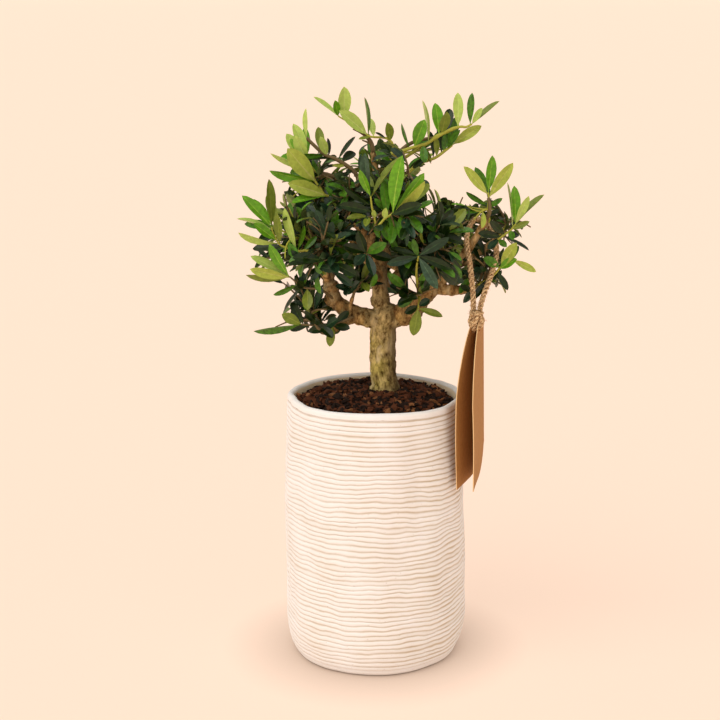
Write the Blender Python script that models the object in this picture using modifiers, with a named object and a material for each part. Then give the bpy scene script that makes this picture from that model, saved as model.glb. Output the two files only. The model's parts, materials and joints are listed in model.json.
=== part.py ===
"""Olive bonsai in a hand-built stoneware pot, with a folded kraft tag hung on jute twine.

Metres, +Z up. The origin is the middle of the pot's flat underside, and the front is -Y.
Sizes and places below are in millimetres, measured from that origin.
"""

import math
import random
from collections import namedtuple

import bmesh
import bpy
from mathutils import Matrix, Vector, noise
from mathutils.bvhtree import BVHTree

MM = 0.001
GAP = 0.3

# The pot, its wall pressed by hand, and the compost in it.
POT_HEIGHT = 191.6
POT_RADIUS = 65.0
RIM_RADIUS = 62.2
WALL = 5.6
LIP = 4.4
FLOOR = 9.0
FLOOR_RADIUS = 53.4
FOOT_ROUND = 9.0
POT_SIDES = 42
WALL_STEPS = 4
PRESS_DEPTH = 0.65
COMPOST_EDGE = 184.0
COMPOST_CROWN = 194.0
COMPOST_LUMP = 1.1
COMPOST_CLEAR = 0.9
FOOT_DISC = 22.0
COMPOST_RINGS = 5

# The tree. Every limb runs from its parent to its tip, bowed aside at its middle.
LIMB_SIDES = 8
LIMB_STEP = 9.0
ROOT_FLARE = 0.17
ROOT_FLARE_HEIGHT = 4.5
TRUNK_FOOT = (6.4, 5.5, COMPOST_CROWN + GAP)

Limb = namedtuple("Limb", "name parent at tip bow thick thin")
LIMBS = (
    Limb("trunk", None, 0.0, (6.0, 8.0, 248.5), (-1.0, 0.0, 0.0), 9.2, 9.0),
    Limb("leader", "trunk", 1.0, (5.0, 11.0, 292.0), (-2.6, 0.0, 0.0), 7.4, 4.4),
    Limb("left_bough", "trunk", 0.93, (-25.0, 1.0, 255.0), (1.0, 0.0, -3.4), 7.6, 5.3),
    Limb("left_bough_upper", "left_bough", 1.0, (-30.5, 3.0, 286.0), (-5.0, 0.0, -1.0), 5.0, 3.4),
    Limb("left_bough_lower", "left_bough", 0.55, (-30.0, -8.0, 240.0), (0.0, 0.0, 1.5), 4.4, 2.8),
    Limb("right_bough", "trunk", 0.9, (40.0, 4.0, 268.0), (2.5, 0.0, -3.5), 8.0, 5.6),
    Limb("right_bough_side", "right_bough", 1.0, (67.0, 2.0, 267.5), (0.0, 0.0, -2.0), 4.6, 2.8),
    Limb("right_bough_upper", "right_bough", 0.86, (76.0, -12.0, 319.0), (3.0, 4.0, -3.0), 4.3, 2.3),
    Limb("right_bough_inner", "right_bough", 0.78, (24.0, -13.0, 299.0), (4.0, 0.0, 2.0), 4.2, 2.5),
    Limb("right_outer_bough", "right_bough_upper", 0.42, (86.0, 8.0, 303.0), (0.0, 2.0, -3.0), 2.8, 2.0),
    Limb("low_bough", "right_bough", 0.6, (30.0, -12.0, 266.0), (0.0, 0.0, 2.0), 2.4, 1.8),
    Limb("low_front_bough", "left_bough", 0.75, (-16.0, -17.0, 265.0), (0.0, 0.0, -2.0), 2.4, 1.8),
    Limb("dead_stub", "right_bough", 0.3, (32.0, -9.0, 251.0), (0.0, -2.0, 1.0), 2.6, 2.0),
    Limb("top_bough", "leader", 1.0, (14.0, 12.0, 354.0), (-1.5, 2.0, 0.0), 4.2, 2.3),
    Limb("top_left_bough", "top_bough", 0.62, (-2.0, 11.0, 362.0), (-2.0, 0.0, -3.0), 2.4, 1.8),
    Limb("top_front_bough", "top_bough", 0.45, (19.0, -12.0, 342.0), (2.0, -2.0, -3.0), 2.4, 1.8),
    Limb("upper_left_bough", "leader", 0.93, (-24.0, 12.0, 336.0), (-4.0, 0.0, 0.0), 3.2, 2.0),
    Limb("upper_front_bough", "leader", 0.8, (-10.0, -5.0, 320.0), (-2.0, 0.0, -3.0), 2.8, 1.9),
    Limb("front_bough", "leader", 0.52, (1.0, -36.0, 319.0), (-7.0, -2.0, -3.0), 3.4, 2.1),
    Limb("front_left_bough", "left_bough_upper", 0.55, (-34.0, -25.0, 298.0), (-1.0, 0.0, -3.0), 2.7, 1.9),
    Limb("back_right_bough", "leader", 0.42, (27.0, 44.0, 293.0), (3.0, 0.0, -5.0), 4.4, 2.6),
    Limb("back_left_bough", "leader", 0.68, (-20.0, 42.0, 301.0), (0.0, 3.0, -4.0), 3.5, 2.3),
    Limb("back_top_bough", "top_bough", 0.2, (8.0, 36.0, 328.0), (0.0, 3.0, -5.0), 2.9, 1.9),
    Limb("back_low_bough", "back_right_bough", 0.5, (6.0, 48.0, 277.0), (2.0, 2.0, 0.0), 2.6, 1.9),
)

# Foliage: one stem a mass, shoots that branch from it, and leaves in crossed pairs on the shoots.
# centre and reach give the mass's own ellipsoid, and leads are shoots that reach a set place.
STEM_THICK = 1.7
STEM_TAPER = 0.12
STEM_STRAIGHT = 3.0
STEM_REACH = 0.8
SHOOT_THICK = 1.15
SHOOT_THIN = 0.7
SHOOT_STEPS = 3
HEADING_HOLD = 0.45
LOWEST_SHOOT = 0.4
GOLDEN_SHARE = 0.618
FEWEST_LEAVES = 3
LEAF_WIDTH = 0.4
LEAF_THICK = 1.3
LEAF_LENGTHS = (0.84, 1.08)
LEAF_SUNK = 0.4
LEAF_LIFT = 0.12
LEAF_SPREAD = math.radians(52)
SPREAD_JITTER = math.radians(13)
TIP_SPREAD = 0.55
TIP_SHARE = 0.9
FIRST_PAIR = 0.4
LAST_PAIR = 0.97
LEAF_REACH = 1.18
LEAF_TRIES = 4
TARGET_TRIES = 5
TARGET_SHELL = (0.55, 0.92)
TARGET_ROOM = 3.0
GROWTHS = 8
KEPT_FACES = 0.55
PAIR_SPACING = 1.0
CLEARANCE = 0.45

Mass = namedtuple("Mass", "name bough centre reach leaf shoots leads")
MASSES = (
    Mass("foliage_low_left", "left_bough_lower", (-50, -10, 257), (36, 26, 28), 20, 7,
         ((-80, -12, 243), (-66, -10, 274), (-32, -14, 236))),
    Mass("foliage_low_front", "low_front_bough", (-15, -29, 273), (22, 19, 21), 19, 5,
         ((-8, -30, 262), (-24, -32, 280))),
    Mass("foliage_left", "left_bough_upper", (-61, -6, 308), (34, 28, 35), 26, 7,
         ((-79, -9, 323), (-75, -10, 289), (-60, -10, 326))),
    Mass("foliage_left_upper", "upper_left_bough", (-45, 10, 350), (28, 28, 37), 26, 6,
         ((-51, 10, 372), (-34, 2, 366), (-60, 8, 350))),
    Mass("foliage_upper_front", "upper_front_bough", (-16, -18, 340), (24, 24, 24), 19, 6,
         ((-28, -20, 352), (-6, -24, 352))),
    Mass("foliage_top_left", "top_left_bough", (-19, 9, 382), (27, 20, 20), 24, 5,
         ((-20, 9, 393), (-34, 9, 389), (4, 12, 372))),
    Mass("foliage_top_right", "top_bough", (49, 8, 376), (42, 24, 27), 24, 6,
         ((66, 8, 385), (58, 0, 377), (40, 0, 378))),
    Mass("foliage_top_front", "top_front_bough", (22, -24, 354), (28, 22, 21), 21, 5,
         ((30, -32, 360), (10, -30, 358))),
    Mass("foliage_centre_front", "front_bough", (8, -50, 332), (31, 27, 30), 27, 6,
         ((13, -58, 345), (0, -56, 346), (26, -52, 330))),
    Mass("foliage_front_left", "front_left_bough", (-36, -42, 304), (28, 26, 32), 21, 6,
         ((-42, -52, 318), (-22, -54, 298))),
    Mass("foliage_front_right", "right_bough_inner", (42, -34, 306), (29, 28, 31), 21, 6,
         ((42, -48, 320), (56, -40, 298))),
    Mass("foliage_low_centre", "low_bough", (27, -24, 268), (24, 18, 23), 20, 5,
         ((31, -22, 248), (14, -28, 274), (46, -20, 262))),
    Mass("foliage_right_upper", "right_bough_upper", (77, -12, 336), (26, 27, 29), 22, 6,
         ((77, -8, 347), (66, -22, 334))),
    Mass("foliage_right_outer", "right_outer_bough", (94, 8, 315), (22, 28, 30), 21, 5,
         ((100, 6, 325), (90, 6, 300))),
    Mass("foliage_right_low", "right_bough_side", (82, -2, 284), (31, 26, 26), 22, 6,
         ((98, -2, 287), (80, -14, 272), (76, -4, 300))),
    Mass("foliage_back_left", "back_left_bough", (-42, 48, 314), (37, 35, 38), 24, 7,
         ((-62, 52, 326), (-48, 64, 304))),
    Mass("foliage_back_right", "back_right_bough", (52, 48, 302), (37, 35, 33), 24, 7,
         ((74, 50, 312), (56, 66, 292))),
    Mass("foliage_back_top", "back_top_bough", (10, 46, 340), (33, 33, 24), 24, 6,
         ((22, 54, 350), (-8, 56, 346))),
    Mass("foliage_back_low", "back_low_bough", (2, 62, 280), (32, 27, 27), 22, 5,
         ((-10, 74, 282), (16, 76, 286))),
)

# The tag: two panels of one folded card, its fold on the side away from the front.
CARD = 0.6
CARD_WIDTH = 43.0
CARD_PEAK = (15.0, 250.0)
CARD_SHOULDER = 243.0
CARD_SIDE = 196.0
CARD_FOOT = 134.0
FOOT_CORNER = (24.0, 26.0)
FOLD_PLACE = (74.8, -10.0)
CARD_TILT = 4.0
CARD_TURN = 21.4
CARD_OPEN = 12.4
HOLE = (15.0, 245.0)
HOLE_RADIUS = 3.4

# The jute twine: a loop over a bough, and the hitch that holds the tag.
TWINE_RADIUS = 1.9
HITCH_RADIUS = 4.6
TWINE_SIDE = 2.15
TWINE_ROUTE = (
    (67.0, -19.5, 268.0), (64.8, -17.0, 288.0), (62.6, -12.0, 305.0), (67.3, -6.5, 316.6),
    (75.6, -3.5, 315.0), (83.0, -3.0, 302.0), (83.6, -4.0, 289.0), (78.6, -12.0, 275.5),
    (74.6, -17.5, 266.5),
)
TWINE_POINTS = 20


def clear_scene():
    for obj in list(bpy.data.objects):
        bpy.data.objects.remove(obj)


def new_collection(name):
    collection = bpy.data.collections.new(name)
    bpy.context.scene.collection.children.link(collection)
    return collection


def paint(name, colour, roughness):
    """A Principled material of one colour, given as linear red, green and blue."""
    material = bpy.data.materials.new(name)
    material.use_nodes = True
    shader = material.node_tree.nodes["Principled BSDF"]
    shader.inputs["Base Color"].default_value = (*colour, 1.0)
    shader.inputs["Roughness"].default_value = roughness
    shader.inputs["Metallic"].default_value = 0.0
    material.diffuse_color = (*colour, 1.0)
    return material


def add_object(name, data, collection, material=None):
    obj = bpy.data.objects.new(name, data)
    collection.objects.link(obj)
    if material:
        data.materials.clear()
        data.materials.append(material)
    return obj


def evaluated_mesh(obj):
    bpy.context.view_layer.update()
    evaluated = obj.evaluated_get(bpy.context.evaluated_depsgraph_get())
    return bpy.data.meshes.new_from_object(evaluated)


def welded_mesh(obj):
    """The object's evaluated mesh, with its loose caps or its seam welded."""
    mesh = evaluated_mesh(obj)
    shape = bmesh.new()
    shape.from_mesh(mesh)
    bmesh.ops.remove_doubles(shape, verts=shape.verts, dist=0.01 * MM)
    shape.to_mesh(mesh)
    shape.free()
    return mesh


def make_cutter(obj):
    obj.hide_render = True
    obj.display_type = "WIRE"


def shade_round(mesh):
    mesh.shade_smooth()
    mesh.set_sharp_from_angle(angle=math.radians(40))


# The pot and its compost.

def pot_profile():
    """Half of the pot's section as (radius, height), from its floor inside, over the lip, to its foot."""
    lip_middle = RIM_RADIUS - LIP / 2
    lip_start = POT_HEIGHT - LIP / 2
    points = [(0.0, FLOOR), (FLOOR_RADIUS, FLOOR)]
    for height in inner_heights() + [lip_start]:
        points.append((wall_radius(height) - wall_thickness(height), height))
    for turn in (120, 90, 60):
        angle = math.radians(turn)
        points.append((lip_middle + LIP / 2 * math.cos(angle), lip_start + LIP / 2 * math.sin(angle)))
    for step in range(2 * WALL_STEPS + 1):
        share = step / (2 * WALL_STEPS)
        height = lip_start + (FOOT_ROUND + 2.0 - lip_start) * share
        points.append((wall_radius(height), height))
    corner = wall_radius(FOOT_ROUND)
    for turn in (30, 60, 90):
        angle = math.radians(turn)
        reach = corner - FOOT_ROUND + FOOT_ROUND * math.cos(angle)
        points.append((reach, FOOT_ROUND - FOOT_ROUND * math.sin(angle)))
    points.append((0.0, 0.0))
    return points


def inner_heights():
    """Where the wall inside is drawn, from the floor's corner to the compost's edge."""
    low = FLOOR + 5.0
    return [low + (COMPOST_EDGE - low) * step / WALL_STEPS for step in range(WALL_STEPS + 1)]


def wall_radius(height):
    """The wall outside: widest low down, drawn in to the rim and a little to the foot."""
    share = height / POT_HEIGHT
    to_rim = (POT_RADIUS - RIM_RADIUS) * max(0.0, share - 0.45) / 0.55
    to_foot = 1.4 * max(0.0, 0.25 - share) / 0.25
    return POT_RADIUS - to_rim - to_foot


def wall_thickness(height):
    return WALL + (LIP - WALL) * max(0.0, height / POT_HEIGHT - 0.8) / 0.2


def press_by_hand(mesh):
    """Moves the wall in and out, and the rim up and down, as a coiled pot's wall is."""
    for vertex in mesh.vertices:
        x, y, z = vertex.co / MM
        radius = math.hypot(x, y)
        if radius < FOOT_DISC:
            continue
        turn = math.atan2(y, x)
        height = z / POT_HEIGHT
        wave = (
            math.sin(3 * turn + 5.0 * height + 0.6)
            + 0.7 * math.sin(5 * turn - 7.0 * height + 2.1)
            + 0.5 * math.sin(8 * turn + 9.0 * height)
        )
        swell = PRESS_DEPTH * wave * min(1.0, 4 * height) * radius / POT_RADIUS
        lift = 0.55 * math.sin(4 * turn + 1.0) * height ** 4
        vertex.co += Vector((math.cos(turn) * swell, math.sin(turn) * swell, lift)) * MM


def turned(name, profile, collection, material):
    """A closed turned solid, from a profile that runs from axis to axis."""
    mesh = bpy.data.meshes.new(name)
    points = [(radius * MM, 0.0, height * MM) for radius, height in profile]
    mesh.from_pydata(points, [(i, i + 1) for i in range(len(points) - 1)], [])
    outline = add_object(name, mesh, collection)
    screw = outline.modifiers.new("turn", "SCREW")
    screw.steps = POT_SIDES
    screw.render_steps = POT_SIDES
    screw.use_merge_vertices = True
    screw.merge_threshold = 0.01 * MM
    solid = welded_mesh(outline)
    bpy.data.objects.remove(outline)
    return add_object(name, solid, collection, material)


def build_pot(collection, material):
    pot = turned("pot", pot_profile(), collection, material)
    press_by_hand(pot.data)
    shade_round(pot.data)


def compost_profile():
    inside = COMPOST_CLEAR
    points = [(0.0, COMPOST_CROWN), (FOOT_DISC - 2.0, COMPOST_CROWN)]
    edge = wall_radius(COMPOST_EDGE) - wall_thickness(COMPOST_EDGE) - inside
    for step in range(1, COMPOST_RINGS + 1):
        share = step / COMPOST_RINGS
        radius = FOOT_DISC - 2.0 + (edge - FOOT_DISC + 2.0) * share
        points.append((radius, COMPOST_EDGE + (COMPOST_CROWN - COMPOST_EDGE) * (1 - share ** 1.5)))
    for height in reversed(inner_heights()[:-1]):
        points.append((wall_radius(height) - wall_thickness(height) - inside, height))
    points.append((FLOOR_RADIUS - inside, FLOOR + GAP))
    points.append((0.0, FLOOR + GAP))
    return points


def build_compost(collection, material):
    """Coarse bark compost, mounded to the trunk, with a level disc for the trunk's flat cut."""
    compost = turned("compost", compost_profile(), collection, material)
    edge = wall_radius(COMPOST_EDGE) - wall_thickness(COMPOST_EDGE) - 3.0
    for vertex in compost.data.vertices:
        x, y, z = vertex.co / MM
        if FOOT_DISC < math.hypot(x, y) < edge and z > COMPOST_EDGE - 1.0:
            vertex.co.z += COMPOST_LUMP * MM * noise.noise(Vector((x, y, 0.0)) * 0.13)
    press_by_hand(compost.data)
    shade_round(compost.data)


# The trunk and the boughs.

def limb_paths():
    """{name: [(place, radius), ...]} of every limb, in millimetres, each root inside its parent."""
    paths = {}
    for limb in LIMBS:
        tip = Vector(limb.tip)
        if limb.parent is None:
            start = Vector(TRUNK_FOOT)
        else:
            start = place_on(paths[limb.parent], limb.at)
        bow = Vector(limb.bow)
        steps = max(3, round((tip - start).length / LIMB_STEP))
        path = []
        for step in range(steps + 1):
            share = step / steps
            place = start.lerp(tip, share) + 4 * bow * share * (1 - share)
            radius = limb.thick + (limb.thin - limb.thick) * share ** 0.8
            path.append((place, radius))
        if limb.parent is None:
            path = with_flare(path)
        elif limb.at == 1.0:
            path[0] = (path[0][0] - (path[1][0] - path[0][0]).normalized() * 0.8, path[0][1])
        paths[limb.name] = path
    return paths


def with_flare(path):
    """The trunk's foot spread to its root flare, on a level cut."""
    foot, radius = path[0]
    above = Vector((foot.x, foot.y, foot.z + ROOT_FLARE_HEIGHT))
    return [(foot, radius * (1 + ROOT_FLARE)), (above, radius * (1 + ROOT_FLARE / 3))] + path[1:]


def place_on(path, share):
    position = share * (len(path) - 1)
    index = min(int(position), len(path) - 2)
    return path[index][0].lerp(path[index + 1][0], position - index)


def tube_mesh(name, path, spare=0.0, sides=LIMB_SIDES):
    """A tapering tube along the path, thicker and longer by the spare millimetres."""
    curve = bpy.data.curves.new(name, "CURVE")
    curve.dimensions = "3D"
    curve.use_fill_caps = True
    if sides == 3:
        curve.bevel_mode = "OBJECT"
        curve.bevel_object = bpy.data.objects["twig_section"]
    else:
        curve.bevel_depth = MM
        curve.bevel_resolution = sides // 2 - 2
    spline = curve.splines.new("POLY")
    spline.points.add(len(path) - 1)
    last = len(path) - 1
    for index, (place, radius) in enumerate(path):
        if index == last:
            place = place + (place - path[index - 1][0]).normalized() * spare
        spline.points[index].co = (*(place * MM), 1.0)
        spline.points[index].radius = radius + spare
    tube = add_object(name, curve, bpy.context.scene.collection)
    mesh = welded_mesh(tube)
    bpy.data.objects.remove(tube)
    bpy.data.curves.remove(curve)
    return mesh


def neighbours_of(limb):
    """The limbs that this one is cut clear of: its parent, and older limbs that leave from close by."""
    near = [limb.parent] if limb.parent else []
    for other in LIMBS:
        if other.name == limb.name:
            break
        if other.parent == limb.parent and limb.parent and abs(other.at - limb.at) < 0.3:
            near.append(other.name)
    if limb.parent == "leader" or limb.name == "right_bough":
        near.append("trunk")
    if limb.name in ("left_bough", "right_bough"):
        near.append("leader")
    return dict.fromkeys(near)


def build_limbs(paths, collection, cutters, material):
    """Each limb in its own node. Its root is cut to its neighbours' bark, a gap clear of it."""
    for name, path in paths.items():
        cutter = add_object(name + "_clear", tube_mesh(name, path, GAP), cutters)
        make_cutter(cutter)
    for limb in LIMBS:
        whole = add_object(limb.name, tube_mesh(limb.name, paths[limb.name]), cutters)
        for neighbour in neighbours_of(limb):
            cut = whole.modifiers.new("clear of " + neighbour, "BOOLEAN")
            cut.operation = "DIFFERENCE"
            cut.object = bpy.data.objects[neighbour + "_clear"]
        mesh = evaluated_mesh(whole)
        bpy.data.objects.remove(whole)
        largest_body(mesh)
        shade_round(mesh)
        add_object(limb.name, mesh, collection, material)


# The foliage.

def make_twig_section(cutters):
    """The three-sided section of the twigs."""
    section = bpy.data.curves.new("twig_section", "CURVE")
    section.dimensions = "2D"
    spline = section.splines.new("POLY")
    spline.points.add(2)
    for index, point in enumerate(spline.points):
        angle = -2 * math.pi * index / 3
        point.co = (math.cos(angle) * MM, math.sin(angle) * MM, 0.0, 1.0)
    spline.use_cyclic_u = True
    make_cutter(add_object("twig_section", section, cutters))


def room_left(mass, place):
    """How far inside its mass's own space a place is: the least distance to a neighbour's side."""
    size = mass_size(mass)
    own = (place - Vector(mass.centre)).length_squared - size * size
    room = 1e9
    for other in MASSES:
        if other.name == mass.name:
            continue
        size = mass_size(other)
        theirs = (place - Vector(other.centre)).length_squared - size * size
        apart = (Vector(other.centre) - Vector(mass.centre)).length
        room = min(room, (theirs - own) / (2 * apart))
    return room


def mass_size(mass):
    return math.prod(mass.reach) ** (1 / 3)


def in_space(mass, place):
    offset = place - Vector(mass.centre)
    share = sum((part / reach) ** 2 for part, reach in zip(offset, mass.reach))
    return share < LEAF_REACH ** 2 and room_left(mass, place) > CLEARANCE


def curved(start, heading, target, steps):
    """Points from a place to a target, leaving along a heading."""
    middle = start + heading * (target - start).length * HEADING_HOLD
    points = []
    for step in range(steps + 1):
        share = step / steps
        points.append(start.lerp(middle, share).lerp(middle.lerp(target, share), share))
    return points


def stem_path(mass, paths):
    """The stem, on from its bough's tip into the mass."""
    tip = paths[mass.bough][-1][0]
    heading = (tip - paths[mass.bough][-2][0]).normalized()
    start = tip + heading * GAP
    first = start + heading * STEM_STRAIGHT
    goal = first.lerp(Vector(mass.centre), STEM_REACH)
    points = [start] + curved(first, heading, goal, SHOOT_STEPS)
    thick = min(STEM_THICK, paths[mass.bough][-1][1] - 0.1)
    return [(point, thick - STEM_TAPER * index) for index, point in enumerate(points)]


def targets_of(mass, rng):
    """The leads, then places spread through the mass's ellipsoid, each far from those before it."""
    targets = [Vector(lead) for lead in mass.leads]
    spread = []
    turn = math.pi * (3 - math.sqrt(5))
    count = TARGET_TRIES * mass.shoots
    for index in range(count):
        height = 1 - 2 * (index + 0.5) / count
        ring = math.sqrt(1 - height * height)
        angle = turn * index + rng.uniform(-0.3, 0.3)
        way = Vector((ring * math.cos(angle), ring * math.sin(angle), height))
        way = Vector(part * reach for part, reach in zip(way, mass.reach))
        place = Vector(mass.centre) + way * rng.uniform(*TARGET_SHELL)
        if room_left(mass, place) > TARGET_ROOM:
            spread.append(place)
    while spread:
        best = max(spread, key=lambda place: min((place - other).length for other in targets))
        targets.append(best)
        spread.remove(best)
    return targets


def leaf_mesh(name, length, matrix):
    """A long thin lens of eight faces: its root at the origin, its blade along +X."""
    shape = bmesh.new()
    bmesh.ops.create_uvsphere(shape, u_segments=4, v_segments=2, radius=1.0)
    size = Matrix.Diagonal((length / 2, length * LEAF_WIDTH / 2, LEAF_THICK / 2, 1.0))
    bmesh.ops.transform(
        shape, matrix=Matrix.Translation((length / 2, 0.0, 0.0)) @ size, verts=shape.verts
    )
    bmesh.ops.transform(shape, matrix=Matrix.Scale(MM, 4) @ matrix, verts=shape.verts)
    mesh = bpy.data.meshes.new(name)
    shape.to_mesh(mesh)
    shape.free()
    return mesh


def leaf_pairs(mass, path):
    """The shares of a shoot's length at which it bears a pair of leaves, the last at its tip."""
    points = [place for place, radius in path]
    length = sum((b - a).length for a, b in zip(points, points[1:]))
    pairs = max(2, round(length * (1 - FIRST_PAIR) / (PAIR_SPACING * mass.leaf)))
    return [FIRST_PAIR + (LAST_PAIR - FIRST_PAIR) * pair / pairs for pair in range(pairs + 1)]


def leaf_place(mass, path, share, angle, rng):
    """(matrix, length) of a leaf that leaves the shoot at a share of its length and at an angle round it."""
    axis = (place_on(path, min(1.0, share + 0.02)) - place_on(path, share - 0.02)).normalized()
    outward = Matrix.Rotation(angle, 3, axis) @ axis.orthogonal().normalized()
    spread = LEAF_SPREAD * (TIP_SPREAD if share > TIP_SHARE else 1.0)
    spread += rng.uniform(-1, 1) * SPREAD_JITTER
    along = axis * math.cos(spread) + outward * math.sin(spread) + Vector((0.0, 0.0, LEAF_LIFT))
    along.normalize()
    across = axis.cross(along).normalized()
    matrix = Matrix((along, across, along.cross(across))).transposed().to_4x4()
    matrix.translation = place_on(path, share) - along * LEAF_SUNK
    return matrix, mass.leaf * rng.uniform(*LEAF_LENGTHS)


def grow_leaves(mass, path, obstacles, rng):
    """The leaves of a shoot, in crossed pairs. One that has no room is turned or drawn in, or left out."""
    leaves = []
    roll = rng.uniform(0.0, math.pi)
    for share in leaf_pairs(mass, path):
        for half in (0.0, math.pi):
            for attempt in range(LEAF_TRIES):
                angle = roll + half + rng.uniform(-0.25, 0.25) * (1 + attempt)
                matrix, length = leaf_place(mass, path, share, angle, rng)
                leaf = leaf_mesh("leaf", length * (1 - 0.1 * attempt), matrix)
                if has_room(mass, leaf, obstacles):
                    leaves.append(leaf)
                    break
        roll += math.pi / 2
    return leaves


def obstacle_tree(cutters, others):
    """Everything that the foliage keeps clear of."""
    vertices = []
    faces = []
    for obj in list(cutters.objects) + others:
        mesh = evaluated_mesh(obj)
        base = len(vertices)
        vertices += [obj.matrix_world @ vertex.co for vertex in mesh.vertices]
        faces += [[base + index for index in polygon.vertices] for polygon in mesh.polygons]
    return BVHTree.FromPolygons(vertices, faces)


def has_room(mass, mesh, obstacles):
    """Whether a twig or leaf stays in its mass's space and touches nothing."""
    if not all(in_space(mass, vertex.co / MM) for vertex in mesh.vertices):
        return False
    faces = [list(polygon.vertices) for polygon in mesh.polygons]
    own = BVHTree.FromPolygons([vertex.co for vertex in mesh.vertices], faces)
    return not own.overlap(obstacles)


def grow_pieces(mass, paths, obstacles, rng):
    """The meshes of a mass: its stem first, then each shoot with its leaves."""
    stem = stem_path(mass, paths)
    pieces = [tube_mesh(mass.name, stem, 0.0, 6)]
    heading = (place_on(stem, 1.0) - place_on(stem, 0.5)).normalized()
    grown = 0
    for target in targets_of(mass, rng):
        if grown == mass.shoots:
            break
        share = (grown * GOLDEN_SHARE) % 1.0
        start = place_on(stem, LOWEST_SHOOT + (1 - LOWEST_SHOOT) * share)
        points = curved(start, heading, target, SHOOT_STEPS)
        taper = (SHOOT_THIN - SHOOT_THICK) / SHOOT_STEPS
        path = [(point, SHOOT_THICK + taper * step) for step, point in enumerate(points)]
        shoot = tube_mesh("shoot", path, 0.0, 3)
        if not has_room(mass, shoot, obstacles):
            continue
        leaves = grow_leaves(mass, path, obstacles, rng)
        if len(leaves) >= FEWEST_LEAVES:
            pieces += [shoot] + leaves
            grown += 1
    return pieces


def largest_body(mesh):
    """Drops what fusing left loose, and the inner faces of what it sealed."""
    shape = bmesh.new()
    shape.from_mesh(mesh)
    left = set(shape.verts)
    bodies = []
    while left:
        body = {left.pop()}
        edge_of_body = set(body)
        while edge_of_body:
            reached = {edge.other_vert(vert) for vert in edge_of_body for edge in vert.link_edges}
            edge_of_body = reached & left
            left -= edge_of_body
            body |= edge_of_body
        bodies.append(body)
    largest = max(bodies, key=len)
    spare = [vert for vert in shape.verts if vert not in largest]
    bmesh.ops.delete(shape, geom=spare, context="VERTS")
    shape.to_mesh(mesh)
    shape.free()


def is_closed(mesh):
    shape = bmesh.new()
    shape.from_mesh(mesh)
    closed = all(len(edge.link_faces) == 2 for edge in shape.edges)
    shape.free()
    return closed


def fused(name, pieces):
    """One closed body of all the pieces, with the smallest faces along their seams drawn together."""
    bits = new_collection(name + "_bits")
    for index, mesh in enumerate(pieces[1:]):
        add_object(f"{name}_bit_{index}", mesh, bits)
    stem = add_object(name + "_stem", pieces[0], bits)
    bits.objects.unlink(stem)
    bpy.context.scene.collection.objects.link(stem)
    union = stem.modifiers.new("fuse", "BOOLEAN")
    union.operation = "UNION"
    union.operand_type = "COLLECTION"
    union.collection = bits
    union.solver = "MANIFOLD"
    stem.data = evaluated_mesh(stem)
    stem.modifiers.clear()
    for bit in list(bits.objects):
        bpy.data.objects.remove(bit)
    bpy.data.collections.remove(bits)
    stem.modifiers.new("faces", "TRIANGULATE")
    thin = stem.modifiers.new("thin", "DECIMATE")
    thin.ratio = KEPT_FACES
    mesh = evaluated_mesh(stem)
    bpy.data.objects.remove(stem)
    largest_body(mesh)
    return mesh


def build_foliage(paths, collection, material, obstacles):
    """Each mass, grown again from another seed where its twigs and leaves don't fuse to one closed body."""
    for mass in MASSES:
        for attempt in range(GROWTHS):
            rng = random.Random(f"{mass.name} {attempt}")
            mesh = fused(mass.name, grow_pieces(mass, paths, obstacles, rng))
            if is_closed(mesh):
                break
        add_object(mass.name, mesh, collection, material)


# The tag and its twine.

def card_outline():
    """One panel, its fold along x = 0: a pointed top over the hole, a long shoulder, a round foot."""
    peak, top = CARD_PEAK
    points = [(0.0, CARD_SHOULDER), (peak * 0.6, top - 1.6), (peak, top)]
    for step in range(1, 8):
        share = (step / 7) ** 0.8
        drop = 1 - (1 - share ** 1.45) ** (1 / 1.45)
        points.append((peak + (CARD_WIDTH - peak) * share, top - (top - CARD_SIDE) * drop))
    points.append((CARD_WIDTH, CARD_FOOT))
    across, up = FOOT_CORNER
    for step in range(6):
        angle = math.radians(270 - 18 * step)
        points.append((across + across * math.cos(angle), CARD_FOOT + 2.0 + up + up * math.sin(angle)))
    return points


def add_outline(curve, points):
    """A closed outline in the panel's plane, its fold along x = 0."""
    spline = curve.splines.new("POLY")
    spline.points.add(len(points) - 1)
    for point, (across, height) in zip(spline.points, points):
        point.co = (across * MM, height * MM, 0.0, 1.0)
    spline.use_cyclic_u = True


def tag_place():
    """From the tag's own frame (X from its fold, Z up) to the world: it hangs from its hole, tilted."""
    fold = Vector((*FOLD_PLACE, 0.0))
    hole = Vector((HOLE[0], 0.0, HOLE[1]))
    turn = Matrix.Rotation(math.radians(-90 - CARD_TURN), 4, "Z")
    tilt = Matrix.Rotation(math.radians(CARD_TILT), 4, "Y")
    return Matrix.Translation(fold + turn @ hole) @ turn @ tilt @ Matrix.Translation(-hole)


def build_tag(collection, material):
    hole = []
    for step in range(12):
        angle = 2 * math.pi * step / 12
        hole.append((HOLE[0] + HOLE_RADIUS * math.cos(angle), HOLE[1] + HOLE_RADIUS * math.sin(angle)))
    for name, side in (("tag_right", 1), ("tag_left", -1)):
        curve = bpy.data.curves.new(name, "CURVE")
        curve.dimensions = "2D"
        curve.fill_mode = "BOTH"
        curve.extrude = CARD / 2 * MM
        add_outline(curve, card_outline())
        add_outline(curve, hole)
        panel = add_object(name, curve, collection, material)
        opened = Matrix.Rotation(math.radians(side * CARD_OPEN / 2), 4, "Z")
        apart = Matrix.Translation((0.0, side * (CARD + GAP) / 2, 0.0))
        stood = Matrix.Rotation(math.radians(90), 4, "X")
        panel.matrix_world = in_metres(tag_place() @ opened @ apart) @ stood


def in_metres(matrix):
    placed = matrix.copy()
    placed.translation = placed.translation * MM
    return placed


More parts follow.
